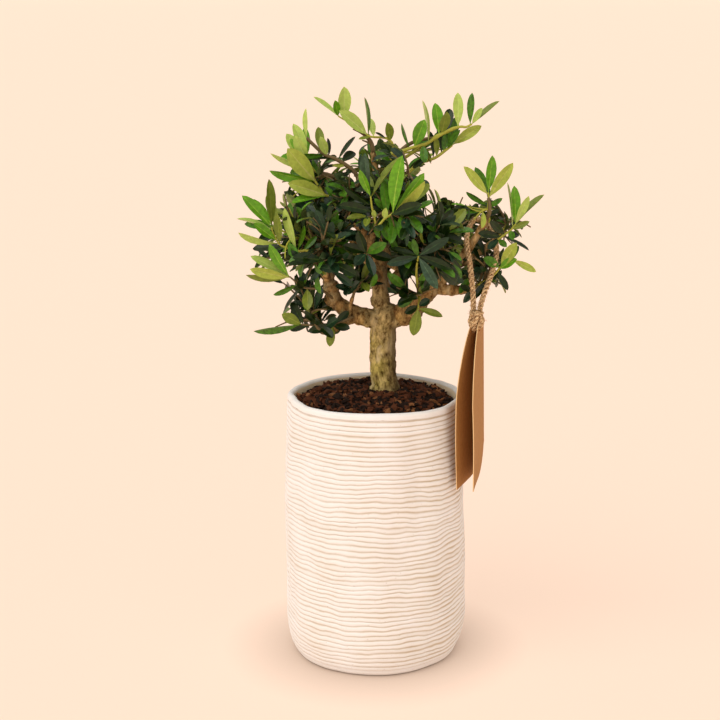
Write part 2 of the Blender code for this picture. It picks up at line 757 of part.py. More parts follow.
def hitch_place():
    """The middle of the hitch, between the panels and over their hole."""
    return tag_place() @ Vector((HOLE[0], 0.0, HOLE[1])) + Vector((0.0, 0.0, HITCH_RADIUS))


def build_twine(collection, material):
    place = hitch_place()
    turn = math.radians(CARD_TURN)
    bpy.ops.mesh.primitive_torus_add(
        major_segments=14,
        minor_segments=8,
        major_radius=HITCH_RADIUS * MM,
        minor_radius=TWINE_RADIUS * MM,
        location=place * MM,
        rotation=(math.radians(90), 0.0, -turn),
    )
    hitch = bpy.context.object
    hitch.name = "twine_hitch"
    hitch.data.materials.append(material)
    for owner in list(hitch.users_collection):
        owner.objects.unlink(hitch)
    collection.objects.link(hitch)

    over = place + Vector((0.0, 0.0, HITCH_RADIUS + TWINE_RADIUS + GAP + 0.2))
    aside = Vector((math.cos(turn), -math.sin(turn), 0.0)) * TWINE_SIDE
    route = [over - aside] + [Vector(point) for point in TWINE_ROUTE] + [over + aside]
    path = [(point, TWINE_RADIUS) for point in smooth_through(route, TWINE_POINTS)]
    loop = add_object("twine_loop", tube_mesh("twine_loop", path), collection, material)
    shade_round(loop.data)


def smooth_through(points, count):
    """Points spaced along a smooth curve through the given ones."""
    ends = [2 * points[0] - points[1]] + points + [2 * points[-1] - points[-2]]
    smooth = []
    for index in range(count + 1):
        position = index / count * (len(points) - 1)
        part = min(int(position), len(points) - 2)
        share = position - part
        before, start, end, after = ends[part:part + 4]
        smooth.append(0.5 * (
            2 * start + (end - before) * share
            + (2 * before - 5 * start + 4 * end - after) * share ** 2
            + (3 * start - before - 3 * end + after) * share ** 3
        ))
    return smooth


def build():
    clear_scene()
    parts = new_collection("olive_bonsai")
    cutters = new_collection("cutters")
    stoneware = paint("off-white stoneware", (0.62, 0.52, 0.40), 0.75)
    compost = paint("bark compost", (0.05, 0.022, 0.014), 0.95)
    bark = paint("olive bark", (0.16, 0.12, 0.07), 0.85)
    leaf = paint("olive leaf", (0.06, 0.13, 0.035), 0.5)
    kraft = paint("kraft card", (0.40, 0.22, 0.10), 0.8)
    jute = paint("jute twine", (0.42, 0.24, 0.11), 0.9)
    build_pot(parts, stoneware)
    build_compost(parts, compost)
    paths = limb_paths()
    build_limbs(paths, parts, cutters, bark)
    build_tag(parts, kraft)
    build_twine(parts, jute)
    make_twig_section(cutters)
    hung = [obj for obj in parts.objects if obj.name.startswith(("twine", "tag"))]
    build_foliage(paths, parts, leaf, obstacle_tree(cutters, hung))


build()
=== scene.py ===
"""An olive bonsai in a coiled stoneware pot, with a folded kraft tag on jute twine.

Places and sizes are in millimetres from the middle of the pot's underside, +Z up, front at -Y,
and are turned to metres where a mesh is made.
"""

import json
import math
import random
from collections import namedtuple

import bpy
import numpy as np
from mathutils import Matrix, Vector, noise
from mathutils.bvhtree import BVHTree
from mathutils.kdtree import KDTree

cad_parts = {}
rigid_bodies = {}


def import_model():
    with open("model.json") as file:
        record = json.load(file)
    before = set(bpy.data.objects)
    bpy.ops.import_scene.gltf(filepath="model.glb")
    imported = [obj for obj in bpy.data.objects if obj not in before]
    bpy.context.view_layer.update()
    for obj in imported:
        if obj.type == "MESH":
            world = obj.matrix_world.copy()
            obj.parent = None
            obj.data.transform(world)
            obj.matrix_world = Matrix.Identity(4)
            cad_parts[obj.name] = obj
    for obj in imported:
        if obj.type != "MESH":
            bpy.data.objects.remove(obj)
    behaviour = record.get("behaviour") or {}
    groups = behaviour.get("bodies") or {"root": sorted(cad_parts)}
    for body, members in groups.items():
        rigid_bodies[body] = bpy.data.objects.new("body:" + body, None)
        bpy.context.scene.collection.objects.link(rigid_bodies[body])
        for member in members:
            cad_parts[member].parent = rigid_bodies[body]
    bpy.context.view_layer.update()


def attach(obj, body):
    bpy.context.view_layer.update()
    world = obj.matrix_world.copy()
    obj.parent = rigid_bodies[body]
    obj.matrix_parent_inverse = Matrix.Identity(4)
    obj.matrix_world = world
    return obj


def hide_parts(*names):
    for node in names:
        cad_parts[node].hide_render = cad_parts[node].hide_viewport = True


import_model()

MM = 0.001
bpy.ops.object.select_all(action="DESELECT")


# The studio: a floor of pale peach paper that curves up into a wall far off on every side, so that
# no edge is in view. The paper glows evenly, so large soft lights from the left and the front leave
# only faint shadows on it.
SWEEP_FLAT = 29000
SWEEP_REACH = 30000
SWEEP_BEND = 900
SWEEP_HEIGHT = 4000
PAPER_COLOUR = "#ffdfc9"
PAPER_SHADE = "#ae9f92"
PAPER_GLOW = 0.68
# How near something stands where it dims the paper's glow: a painted soft shadow at the pot's foot.
PAPER_SHADOW_REACH = 52
EYE = Vector((-11.0, -1104.0, 485.6))
LOOKING_DOWN = 13.73


def linear(hex_colour):
    """An sRGB hex colour as linear red, green, blue and alpha."""
    channels = [int(hex_colour[place:place + 2], 16) / 255 for place in (1, 3, 5)]
    return tuple(c / 12.92 if c <= 0.04045 else ((c + 0.055) / 1.055) ** 2.4 for c in channels) + (1.0,)


def new_finish(name):
    """An empty material, and its Principled shader."""
    finish = bpy.data.materials.new(name)
    finish.use_nodes = True
    return finish, finish.node_tree.nodes["Principled BSDF"]


def set_node(node, settings):
    """Sets a node's sockets and options by name. A value that is another node's socket is linked."""
    for name, value in settings.items():
        if isinstance(value, bpy.types.NodeSocket):
            node.id_data.links.new(value, node.inputs[name])
        elif isinstance(name, int) or name in node.inputs:
            node.inputs[name].default_value = value
        else:
            setattr(node, name, value)


def add_node(finish, kind, settings=None, out=0):
    """Adds a shader node with its settings and links, and gives its output."""
    node = finish.node_tree.nodes.new("ShaderNode" + kind)
    set_node(node, settings or {})
    return node.outputs[out]


def start_profile(name, radius, height):
    """A new mesh of one point, open in edit mode, from which a profile is drawn."""
    bpy.ops.object.select_all(action="DESELECT")
    bpy.ops.mesh.primitive_plane_add(size=0.001)
    piece = bpy.context.object
    piece.name = name
    piece.data.name = name
    bpy.ops.object.mode_set(mode="EDIT")
    bpy.ops.mesh.select_mode(type="VERT")
    bpy.ops.mesh.select_all(action="SELECT")
    bpy.ops.mesh.merge(type="CENTER")
    bpy.ops.transform.translate(value=(radius * MM, 0.0, height * MM))
    return piece


def turned(name, profile, columns):
    """A profile of (radius, height) points drawn point by point, then spun once round."""
    piece = start_profile(name, *profile[0])
    for (radius, height), (next_radius, next_height) in zip(profile, profile[1:]):
        step = ((next_radius - radius) * MM, 0.0, (next_height - height) * MM)
        bpy.ops.mesh.extrude_vertices_move(TRANSFORM_OT_translate={"value": step})
    bpy.ops.mesh.select_all(action="SELECT")
    bpy.ops.mesh.spin(steps=columns, angle=math.tau, center=(0.0, 0.0, 0.0), axis=(0.0, 0.0, 1.0))
    bpy.ops.mesh.select_all(action="SELECT")
    bpy.ops.mesh.remove_doubles(threshold=0.01 * MM)
    bpy.ops.mesh.normals_make_consistent(inside=False)
    bpy.ops.object.mode_set(mode="OBJECT")
    bpy.ops.object.shade_smooth()
    return piece


sweep_profile = [(0.0, 0.0), (SWEEP_FLAT, 0.0)]
for step in range(17):
    angle = math.radians(90) * step / 16
    sweep_profile.append((SWEEP_REACH + SWEEP_BEND * math.sin(angle), SWEEP_BEND * (1 - math.cos(angle))))
sweep_profile.append((SWEEP_REACH + SWEEP_BEND, SWEEP_BEND + SWEEP_HEIGHT))
sweep = turned("paper_sweep", sweep_profile, 96)

# Seamless background paper: matt, and glowing so that it shows evenly bright. Its glow is dimmed by
# ambient occlusion close to the pot, which is a painted soft shadow at its foot.
paper, paper_shader = new_finish("seamless peach paper")
open_sky = add_node(paper, "AmbientOcclusion", {"Distance": PAPER_SHADOW_REACH * MM}, out="AO")
glow_with_painted_shadow = add_node(paper, "Math", {"operation": "MULTIPLY", 0: open_sky, 1: PAPER_GLOW})
set_node(paper_shader, {
    "Base Color": linear(PAPER_SHADE), "Roughness": 0.9, "Specular IOR Level": 0.1,
    "Emission Color": linear(PAPER_COLOUR), "Emission Strength": glow_with_painted_shadow,
})
sweep.data.materials.append(paper)

camera_data = bpy.data.cameras.new("camera")
camera_data.lens = 80.0
camera_data.sensor_width = 36.0
camera = bpy.data.objects.new("camera", camera_data)
camera.location = EYE * MM
camera.rotation_euler = (math.radians(90 - LOOKING_DOWN), 0.0, 0.0)
bpy.context.scene.collection.objects.link(camera)
bpy.context.scene.camera = camera

world = bpy.data.worlds.new("studio")
bpy.context.scene.world = world
world.use_nodes = True
room_light = world.node_tree.nodes["Background"]
set_node(room_light, {"Color": linear("#fff6ec"), "Strength": 0.58})
# The room behind the sweep is lined with the same paper, so no edge shows from any side.
lining = add_node(world, "Background", {"Color": linear("#ffe8ce")})
looked_at = add_node(world, "LightPath")
room = add_node(world, "MixShader", {0: looked_at, 1: room_light.outputs["Background"], 2: lining})
set_node(world.node_tree.nodes["World Output"], {"Surface": room})
bpy.context.scene.view_settings.view_transform = "Standard"

# Two large soft lights, so far off that they fall evenly: where from, degrees across, strength, colour.
SOFT_LIGHTS = (
    ("key", (-0.62, -0.62, 0.95), 55, 1.35, "#fffaf4"),
    ("fill", (0.75, -0.85, 0.35), 70, 0.3, "#fff8f0"),
)
for name, place, wide, strength, colour in SOFT_LIGHTS:
    light = bpy.data.lights.new(name, "SUN")
    light.angle = math.radians(wide)
    light.energy = strength
    light.color = linear(colour)[:3]
    lamp = bpy.data.objects.new(name, light)
    lamp.location = place
    lamp.rotation_euler = (-Vector(place)).to_track_quat("-Z", "Y").to_euler()
    bpy.context.scene.collection.objects.link(lamp)


# The pot: off-white stoneware, built of thin coils laid one on another and pressed by hand into soft
# facets, its coils left to show outside, its rim and inside smoothed. Unglazed; the tan in its
# grooves is painted shade.
POT_HEIGHT = 191.6
POT_RADIUS = 65.0
RIM_RADIUS = 62.2
WALL = 5.6
LIP = 4.7
FLOOR = 9.0
FLOOR_RADIUS = 53.4
FOOT_TAPER = 6.2
FOOT_HIGH = 28.0
FOOT_ROUND = 3.0
PRESS_DEPTH = 0.8
FACET_DEPTH = 3.2
FACETS_ROUND = 2.5
FACETS_UP = 0.012
POT_COLUMNS = 168
COIL_PITCH = 3.42
COIL_DEPTH = 0.8
# One coil from groove to groove: share of the pitch, share of the depth that it stands out.
COIL_SHAPE = ((0.0, 0.0), (0.14, 0.62), (0.34, 0.95), (0.6, 1.0), (0.85, 0.66))
FIRST_COIL = 5.0
SMOOTH_RIM = 3.4
COIL_WAVER = 2.56
WAVERS_ROUND = 1.6
WAVERS_UP = 0.027
STRAIGHT_BELOW_RIM = 50


def wall_radius(height):
    """The wall outside: widest low down and drawn in to the rim."""
    share = height / POT_HEIGHT
    to_rim = (POT_RADIUS - RIM_RADIUS) * max(0.0, share - 0.45) / 0.55
    return POT_RADIUS - to_rim


def foot_tuck(height):
    """How far the rounded foot draws the wall in."""
    turned_in = FOOT_ROUND - math.sqrt(FOOT_ROUND ** 2 - max(0.0, FOOT_ROUND - height) ** 2)
    return FOOT_TAPER * (max(0.0, FOOT_HIGH - height) / FOOT_HIGH) ** 2.2 + turned_in


def wall_thickness(height):
    """The wall's thickness, drawn in to the lip over its top fifth."""
    return WALL + (LIP - WALL) * max(0.0, height / POT_HEIGHT - 0.8) / 0.2


def pressed(x, y, z):
    """Where the hand's press moves a point of the wall: in or out, and the rim up and down."""
    radius = math.hypot(x, y)
    turn = math.atan2(y, x)
    height = z / POT_HEIGHT
    wave = (
        math.sin(3 * turn + 5.0 * height + 0.6)
        + 0.7 * math.sin(5 * turn - 7.0 * height + 2.1)
        + 0.5 * math.sin(8 * turn + 9.0 * height)
    )
    swell = PRESS_DEPTH * wave * min(1.0, 0.5 + 3 * height) * radius / POT_RADIUS
    round_wall = Vector((math.cos(turn) * FACETS_ROUND, math.sin(turn) * FACETS_ROUND, z * FACETS_UP + 5.0))
    facet = abs(noise.noise(round_wall))
    swell += FACET_DEPTH * (facet - 0.22) * min(1.0, 0.3 + 3 * height, max(0.7, 5 * (1.02 - height)))
    lift = (0.55 * math.sin(4 * turn + 1.0) + max(0.0, -math.sin(turn))) * height ** 4
    return Vector((math.cos(turn) * swell, math.sin(turn) * swell, lift))


profile = [(0.0, 0.0), (30.0, 0.0)]
for height in (0.0, 0.25, 0.8, 1.6, 2.6, 3.6):
    profile.append((wall_radius(height) - foot_tuck(height) - 0.3, height))
coils = round((POT_HEIGHT - SMOOTH_RIM - FIRST_COIL) / COIL_PITCH)
rng = random.Random("coils")
for coil in range(coils):
    slip = rng.uniform(-0.3, 0.3)
    full = rng.uniform(0.8, 1.12)
    for share, bulge in COIL_SHAPE:
        height = FIRST_COIL + COIL_PITCH * (coil + share) + slip * min(1.0, 4 * share * (1 - share) + 0.4)
        bulge *= full
        profile.append((wall_radius(height) - foot_tuck(height) - COIL_DEPTH * (1 - bulge), height))
lip_start = POT_HEIGHT - LIP / 2
lip_middle = RIM_RADIUS - LIP / 2
profile.append((wall_radius(lip_start - 2.2) - 0.1, lip_start - 2.2))
for turn in range(0, 181, 20):
    angle = math.radians(turn)
    profile.append((lip_middle + LIP / 2 * math.cos(angle), lip_start + LIP / 2 * math.sin(angle)))
for height in (186.0, 182.0, 177.0, 170.0, 150.0, 120.0, 80.0, 40.0, FLOOR + 5.0):
    profile.append((wall_radius(height) - wall_thickness(height), height))
profile += [(FLOOR_RADIUS, FLOOR), (0.0, FLOOR)]
pot = turned("coiled_pot", profile, POT_COLUMNS)

depth_of = []
inner_of = []
for vertex in pot.data.vertices:
    x, y, z = vertex.co / MM
    radius = math.hypot(x, y)
    turn = math.atan2(y, x)
    wall = wall_radius(z) - foot_tuck(z)
    outside = radius > wall - 2.2 and FIRST_COIL < z < POT_HEIGHT - SMOOTH_RIM
    depth = 0.0
    if outside:
        depth = max(0.0, (wall - radius) / COIL_DEPTH)
        place = Vector((math.cos(turn) * WAVERS_ROUND, math.sin(turn) * WAVERS_ROUND, z * WAVERS_UP))
        waver = noise.noise(place + Vector((3.7, 0.0, 0.0)))
        waver += 0.5 * noise.noise(place * 2.7)
        waver += 0.22 * noise.noise(place * 6.5)
        ends = min(1.0, (z - FIRST_COIL) / 14, (POT_HEIGHT - SMOOTH_RIM - z) / STRAIGHT_BELOW_RIM)
        smear = 0.5 + 0.5 * noise.noise(Vector((math.cos(turn) * 5, math.sin(turn) * 5, z * 0.06)))
        vertex.co.z += COIL_WAVER * waver * ends * MM
        fine = 0.16 * noise.noise(Vector((x * 0.35, y * 0.35, z * 0.9)))
        swell = fine + 0.22 * smear * depth
        vertex.co.x += math.cos(turn) * swell * MM
        vertex.co.y += math.sin(turn) * swell * MM
    if radius > 22:
        vertex.co += pressed(x, y, z) * MM
    depth_of.append(depth)
    inner_of.append(1.0 if z > FLOOR - 1 and radius < lip_middle - 1.0 and z < lip_start + 0.4 else 0.0)
for name, values in (("groove", depth_of), ("inner", inner_of)):
    pot.data.attributes.new(name, "FLOAT", "POINT").data.foreach_set("value", values)
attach(pot, "root")
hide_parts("pot")


def apart(size):
    """The scale of a pattern whose marks lie this many millimetres apart."""
    return 1000 / size


# Unglazed white stoneware: fired clay, dry and matt. The coils' crowns are cream, the grooves between
# them are painted tan as shade, heavier to the right, the side turned from the key light, and fine
# iron specks show here and there. The inside is smooth, tinted warm cream as painted shade. The clay's
# grain is drawn coarser than life.
stoneware, shader = new_finish("unglazed white stoneware")
place = add_node(stoneware, "TexCoord", out="Object")
groove_depth = add_node(stoneware, "Attribute", {"attribute_name": "groove"}, out="Fac")
patches = add_node(stoneware, "TexNoise", {
    "Vector": place, "Scale": apart(29.4), "Detail": 5.0, "Roughness": 0.6,
})
groove_shade_share = add_node(stoneware, "MapRange", {
    "Value": groove_depth, "From Min": 0.12, "From Max": 0.85, "To Max": 0.74,
})
patchy_groove_shade = add_node(stoneware, "Math", {"operation": "MULTIPLY", 0: groove_shade_share, 1: patches})
across = add_node(stoneware, "SeparateXYZ", {"Vector": place})
# Painted shade: the grooves' tan is made heavier towards the right, the side turned from the key light.
shade_to_right = add_node(stoneware, "MapRange", {
    "Value": across, "From Min": -0.065, "From Max": 0.065, "To Min": 0.9, "To Max": 1.9,
})
groove_shade_amount = add_node(stoneware, "Math", {"operation": "MULTIPLY", 0: patchy_groove_shade, 1: shade_to_right})
inside = add_node(stoneware, "Attribute", {"attribute_name": "inner"}, out="Fac")
speck_noise = add_node(stoneware, "TexNoise", {"Vector": place, "Scale": apart(1.11), "Detail": 1.0})
specks = add_node(stoneware, "MapRange", {
    "Value": speck_noise, "From Min": 0.74, "From Max": 0.8, "To Max": 0.5,
})
tone = add_node(stoneware, "MixRGB", {
    "Fac": patches, "Color1": linear("#fbfcff"), "Color2": linear("#f3f1ed"),
})
# Painted shade: the tan in the grooves and the warm tint inside. The dark specks are the clay's own iron.
for share, colour in ((groove_shade_amount, "#b49868"), (inside, "#ffebc8"), (specks, "#7d5a3c")):
    tone = add_node(stoneware, "MixRGB", {"Fac": share, "Color1": tone, "Color2": linear(colour)})
grain = add_node(stoneware, "TexNoise", {"Vector": place, "Scale": apart(0.91), "Detail": 2.0})
relief = add_node(stoneware, "Bump", {"Height": grain, "Strength": 0.25, "Distance": 0.0002})
set_node(shader, {"Base Color": tone, "Normal": relief, "Roughness": 0.78, "IOR": 1.5})
pot.data.materials.clear()
pot.data.materials.append(stoneware)


# The compost: shredded bark, mounded up to the trunk and lying loose in flakes and crumbs 1 to 8 mm
# long, dark where damp. A bed carries the flakes, which are modelled once each and strewn in copies.
COMPOST_EDGE = 185.6
COMPOST_CROWN = 194.0
BED_BOTTOM = 176.0
BED_RINGS = 26
LEVEL_ROUND_TRUNK = 14.0
CHIPS = 2300
CHIP_SHAPES = 5
CHIP_SIZES = (1.7, 9.0)
CHIP_SHARES = {"chips_brown": 0.5, "chips_dark": 0.41, "chips_tan": 0.09}
CLEAR_OF_TRUNK = 10.5
# Two big flakes that stand up at the wall: size, place, turn.
STANDING_FLAKES = ((6.5, (-3.0, 31.0, 192.5), 20), (5.8, (-26.0, -22.0, 188.6), 80))
FLAKE_TILT = 62
TRUNK_FOOT = (6.4, 5.5, COMPOST_CROWN + 0.3)


def compost_height(x, y):
    """The mound's height at a place, with its lumps."""
    edge = wall_radius(COMPOST_EDGE) - wall_thickness(COMPOST_EDGE)
    share = min(1.0, max(0.0, (math.hypot(x, y) - LEVEL_ROUND_TRUNK) / (edge - LEVEL_ROUND_TRUNK)))
    height = COMPOST_EDGE + (COMPOST_CROWN - COMPOST_EDGE) * (1 - share ** 1.5)
    mounds = 1.3 * noise.noise(Vector((x, y, 0.0)) * 0.11)
    return height + mounds + 0.6 * noise.noise(Vector((x, y, 9.0)) * 0.3)


edge = wall_radius(COMPOST_EDGE) - wall_thickness(COMPOST_EDGE) - 0.4
bed_profile = [
    (0.0, BED_BOTTOM), (edge - 1.0, BED_BOTTOM), (edge, BED_BOTTOM + 3.0), (edge, COMPOST_EDGE - 1.0),
]
for ring in range(BED_RINGS, -1, -1):
    bed_profile.append((edge * ring / BED_RINGS, COMPOST_EDGE))
bed = turned("compost_bed", bed_profile, 120)
for vertex in bed.data.vertices:
    x, y, z = vertex.co / MM
    if z > COMPOST_EDGE - 0.5:
        crumbs = 0.8 * noise.noise(Vector((x, y, 4.0)) * 0.9)
        vertex.co.z = (compost_height(x, y) - 1.2 + crumbs) * MM
    vertex.co += pressed(x, y, z) * MM * 0.9


def chip_shape(number):
    """One flake of bark: a flat splinter, its ends broken off askew and its faces uneven."""
    rng = random.Random(f"chip {number}")
    bpy.ops.object.select_all(action="DESELECT")
    bpy.ops.mesh.primitive_cube_add(size=1.0)
    flake = bpy.context.object
    bpy.ops.object.mode_set(mode="EDIT")
    bpy.ops.transform.resize(value=(1.0, rng.uniform(0.4, 0.62), rng.uniform(0.16, 0.3)))
    bpy.ops.mesh.subdivide(number_cuts=1)
    for end in (-1, 1):
        bpy.ops.mesh.select_all(action="SELECT")
        bpy.ops.mesh.bisect(
            plane_co=(0.42 * end, rng.uniform(-0.05, 0.05), 0.0),
            plane_no=(end, rng.uniform(-0.9, 0.9), rng.uniform(-0.5, 0.5)),
            use_fill=True,
            clear_outer=True,
        )
    bpy.ops.object.mode_set(mode="OBJECT")
    for vertex in flake.data.vertices:
        vertex.co += Vector([rng.uniform(-0.06, 0.06) for axis in range(3)])
    return flake


def strewn(name, shapes, places):
    """One mesh of many copies: (shape number, matrix) each."""
    points = []
    faces = []
    for number, matrix in places:
        mesh = shapes[number].data
        base = len(points)
        points += [matrix @ vertex.co for vertex in mesh.vertices]
        faces += [[base + index for index in polygon.vertices] for polygon in mesh.polygons]
    mesh = bpy.data.meshes.new(name)
    mesh.from_pydata(points, [], faces)
    piece = bpy.data.objects.new(name, mesh)
    bpy.context.scene.collection.objects.link(piece)
    return piece


shapes = [chip_shape(number) for number in range(CHIP_SHAPES)]
rng = random.Random("compost")
chips = {kind: [] for kind in CHIP_SHARES}
for number in range(CHIPS):
    radius = (edge - 0.8) * math.sqrt(rng.random())
    turn = rng.uniform(0.0, math.tau)
    x = radius * math.cos(turn)
    y = radius * math.sin(turn)
    size = CHIP_SIZES[0] + (CHIP_SIZES[1] - CHIP_SIZES[0]) * rng.random() ** 2.2
    tilt = Matrix.Rotation(rng.gauss(0.0, 0.45), 4, "X") @ Matrix.Rotation(rng.gauss(0.0, 0.45), 4, "Y")
    from_trunk = math.hypot(x - TRUNK_FOOT[0], y - TRUNK_FOOT[1])
    if from_trunk < CLEAR_OF_TRUNK + size / 2 or radius > edge - size * 0.42:
        size = CHIP_SIZES[0]
    height = compost_height(x, y) - 0.4 + rng.uniform(-0.6, 1.3 if radius < edge - 5 else 0.2)
    matrix = Matrix.Translation(Vector((x, y, height)) * MM)
    matrix = matrix @ Matrix.Rotation(rng.uniform(0, math.tau), 4, "Z") @ tilt @ Matrix.Scale(size * MM, 4)
    kind = rng.choices(list(CHIP_SHARES), list(CHIP_SHARES.values()))[0]
    chips[kind].append((number % CHIP_SHAPES, matrix))
for size, place, spin in STANDING_FLAKES:
    matrix = Matrix.Translation(Vector(place) * MM) @ Matrix.Rotation(math.radians(spin), 4, "Z")
    matrix = matrix @ Matrix.Rotation(math.radians(FLAKE_TILT), 4, "Y") @ Matrix.Scale(size * MM, 4)
    chips["chips_dark"].append((1, matrix))


def two_toned(finish, shader, place, size, rough, spread, tones, relief):
    """Mottles a finish between two tones, with a relief to match: its strength, and its depth in mm."""
    marks = add_node(finish, "TexNoise", {
        "Vector": place, "Scale": apart(size), "Detail": 3.0, "Roughness": rough,
    })
    share = add_node(finish, "MapRange", {
        "Value": marks, "From Min": 0.5 - spread, "From Max": 0.5 + spread,
    })
    tone = add_node(finish, "MixRGB", {"Fac": share, "Color1": tones[0], "Color2": tones[1]})
    strength, depth = relief
    bumps = add_node(finish, "Bump", {"Height": marks, "Strength": strength, "Distance": depth * MM})
    set_node(shader, {"Base Color": tone, "Normal": bumps})


# Shredded conifer bark: torn flakes, matt and fibrous, red-brown where dry, nearly black where damp.
# Each flake is dealt one of three colours, and its fibres are drawn coarser than life.
CHIP_COLOURS = {
    "chips_brown": ("#321a0b", "#6a3a1f"),
    "chips_dark": ("#120904", "#29160a"),
    "chips_tan": ("#5c391e", "#a06c42"),
}
for name, places in chips.items():
    piece = strewn(name, shapes, places)
    finish, shader = new_finish(f"shredded bark, {name[6:]}")
    place = add_node(finish, "TexCoord", out="Object")
    tones = [linear(tone) for tone in CHIP_COLOURS[name]]
    two_toned(finish, shader, place, 2.38, 0.7, 0.5, tones, (0.5, 0.3))
    set_node(shader, {"Roughness": 0.85, "Specular IOR Level": 0.25})
    piece.data.materials.append(finish)
    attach(piece, "root")
    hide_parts("compost")
    if name == "chips_dark":
        bed.data.materials.append(finish)
for flake in shapes:
    bpy.data.objects.remove(flake)
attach(bed, "root")
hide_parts("compost")


# The trunk and boughs: short, thick olive wood under grey-olive bark, mossy on its shaded side, with
# pale swollen callus where old cuts healed. Each bough's root is grown into the limb that bears it.
# A limb grows from a share of its parent's length to its tip, bowed aside by so much, between two radii.
Limb = namedtuple("Limb", "name parent at tip bow thick thin")
LIMBS = (
    Limb("trunk", None, 0.0, (6.0, 8.0, 248.5), (-1.0, 0.0, 0.0), 9.2, 9.0),
    Limb("leader", "trunk", 1.0, (5.0, 11.0, 292.0), (-2.6, 0.0, 0.0), 6.6, 4.4),
    Limb("left_bough", "trunk", 0.93, (-25.0, 1.0, 255.0), (1.0, 0.0, -3.4), 7.6, 5.3),
    Limb("left_bough_upper", "left_bough", 1.0, (-30.5, 3.0, 286.0), (-5.0, 0.0, -1.0), 5.0, 3.4),
    Limb("left_bough_lower", "left_bough", 0.55, (-30.0, -8.0, 240.0), (0.0, 0.0, 1.5), 4.4, 2.8),
    Limb("right_bough", "trunk", 0.9, (40.0, 4.0, 268.0), (2.5, 0.0, -3.5), 8.0, 5.6),
    Limb("right_bough_side", "right_bough", 1.0, (67.0, 2.0, 267.5), (0.0, 0.0, -2.0), 4.6, 2.8),
    Limb("right_bough_upper", "right_bough", 0.86, (76.0, -12.0, 319.0), (3.0, 4.0, -3.0), 4.3, 2.3),
    Limb("right_bough_inner", "right_bough", 0.78, (24.0, -13.0, 299.0), (4.0, 0.0, 2.0), 4.2, 2.5),
    Limb("right_outer_bough", "right_bough_upper", 0.42, (86.0, 8.0, 303.0), (0.0, 2.0, -3.0), 2.8, 2.0),
    Limb("low_bough", "right_bough", 0.6, (30.0, -12.0, 266.0), (0.0, 0.0, 2.0), 2.4, 1.8),
    Limb("low_front_bough", "left_bough", 0.75, (-16.0, -17.0, 265.0), (-1.5, 0.0, -2.0), 1.7, 1.3),
    Limb("dead_stub", "right_bough", 0.3, (32.0, -9.0, 251.0), (0.0, -2.0, 1.0), 2.6, 2.0),
    Limb("top_bough", "leader", 1.0, (14.0, 12.0, 354.0), (-1.5, 2.0, 0.0), 4.2, 2.3),
    Limb("top_left_bough", "top_bough", 0.62, (-2.0, 11.0, 362.0), (-2.0, 0.0, -3.0), 2.4, 1.8),
    Limb("top_front_bough", "top_bough", 0.45, (19.0, -12.0, 342.0), (2.0, -2.0, -3.0), 2.4, 1.8),
    Limb("upper_left_bough", "leader", 0.93, (-24.0, 12.0, 336.0), (-4.0, 0.0, 0.0), 3.2, 2.0),
    Limb("upper_front_bough", "leader", 0.8, (-10.0, -5.0, 320.0), (-2.0, 0.0, -3.0), 2.8, 1.9),
    Limb("front_bough", "leader", 0.52, (1.0, -36.0, 319.0), (-7.0, -2.0, -3.0), 3.4, 2.1),
    Limb("front_left_bough", "left_bough_upper", 0.55, (-34.0, -25.0, 298.0), (-1.0, 0.0, -3.0), 2.7, 1.9),
    Limb("back_right_bough", "leader", 0.42, (27.0, 44.0, 293.0), (3.0, 0.0, -5.0), 4.4, 2.6),
    Limb("back_left_bough", "leader", 0.68, (-20.0, 42.0, 301.0), (0.0, 3.0, -4.0), 3.5, 2.3),
    Limb("back_top_bough", "top_bough", 0.2, (8.0, 36.0, 328.0), (0.0, 3.0, -5.0), 2.9, 1.9),
    Limb("back_low_bough", "back_right_bough", 0.5, (6.0, 48.0, 277.0), (2.0, 2.0, 0.0), 2.6, 1.9),
)

LIMB_STEP = 2.5
ROOT_FLARE = 0.17
ROOT_FLARE_HEIGHT = 4.5
FOOT_SUNK = 6.0
BARK_GRAIN = 0.56
BARK_LUMP = 0.6
BARK_RIDGE = 0.36
# How far the ridges are drawn out along their limb, and the radius at which a limb has its full relief.
BARK_DRAWN_OUT = 0.82
FULL_RELIEF = 6.0
MOSS_TOP = 262.0
MOSS_FADE = 50.0
OLD_LIMBS = ("trunk", "leader", "left_bough", "right_bough")
CALLUSED_LIMBS = ("left_bough_upper", "right_bough_side", "dead_stub")
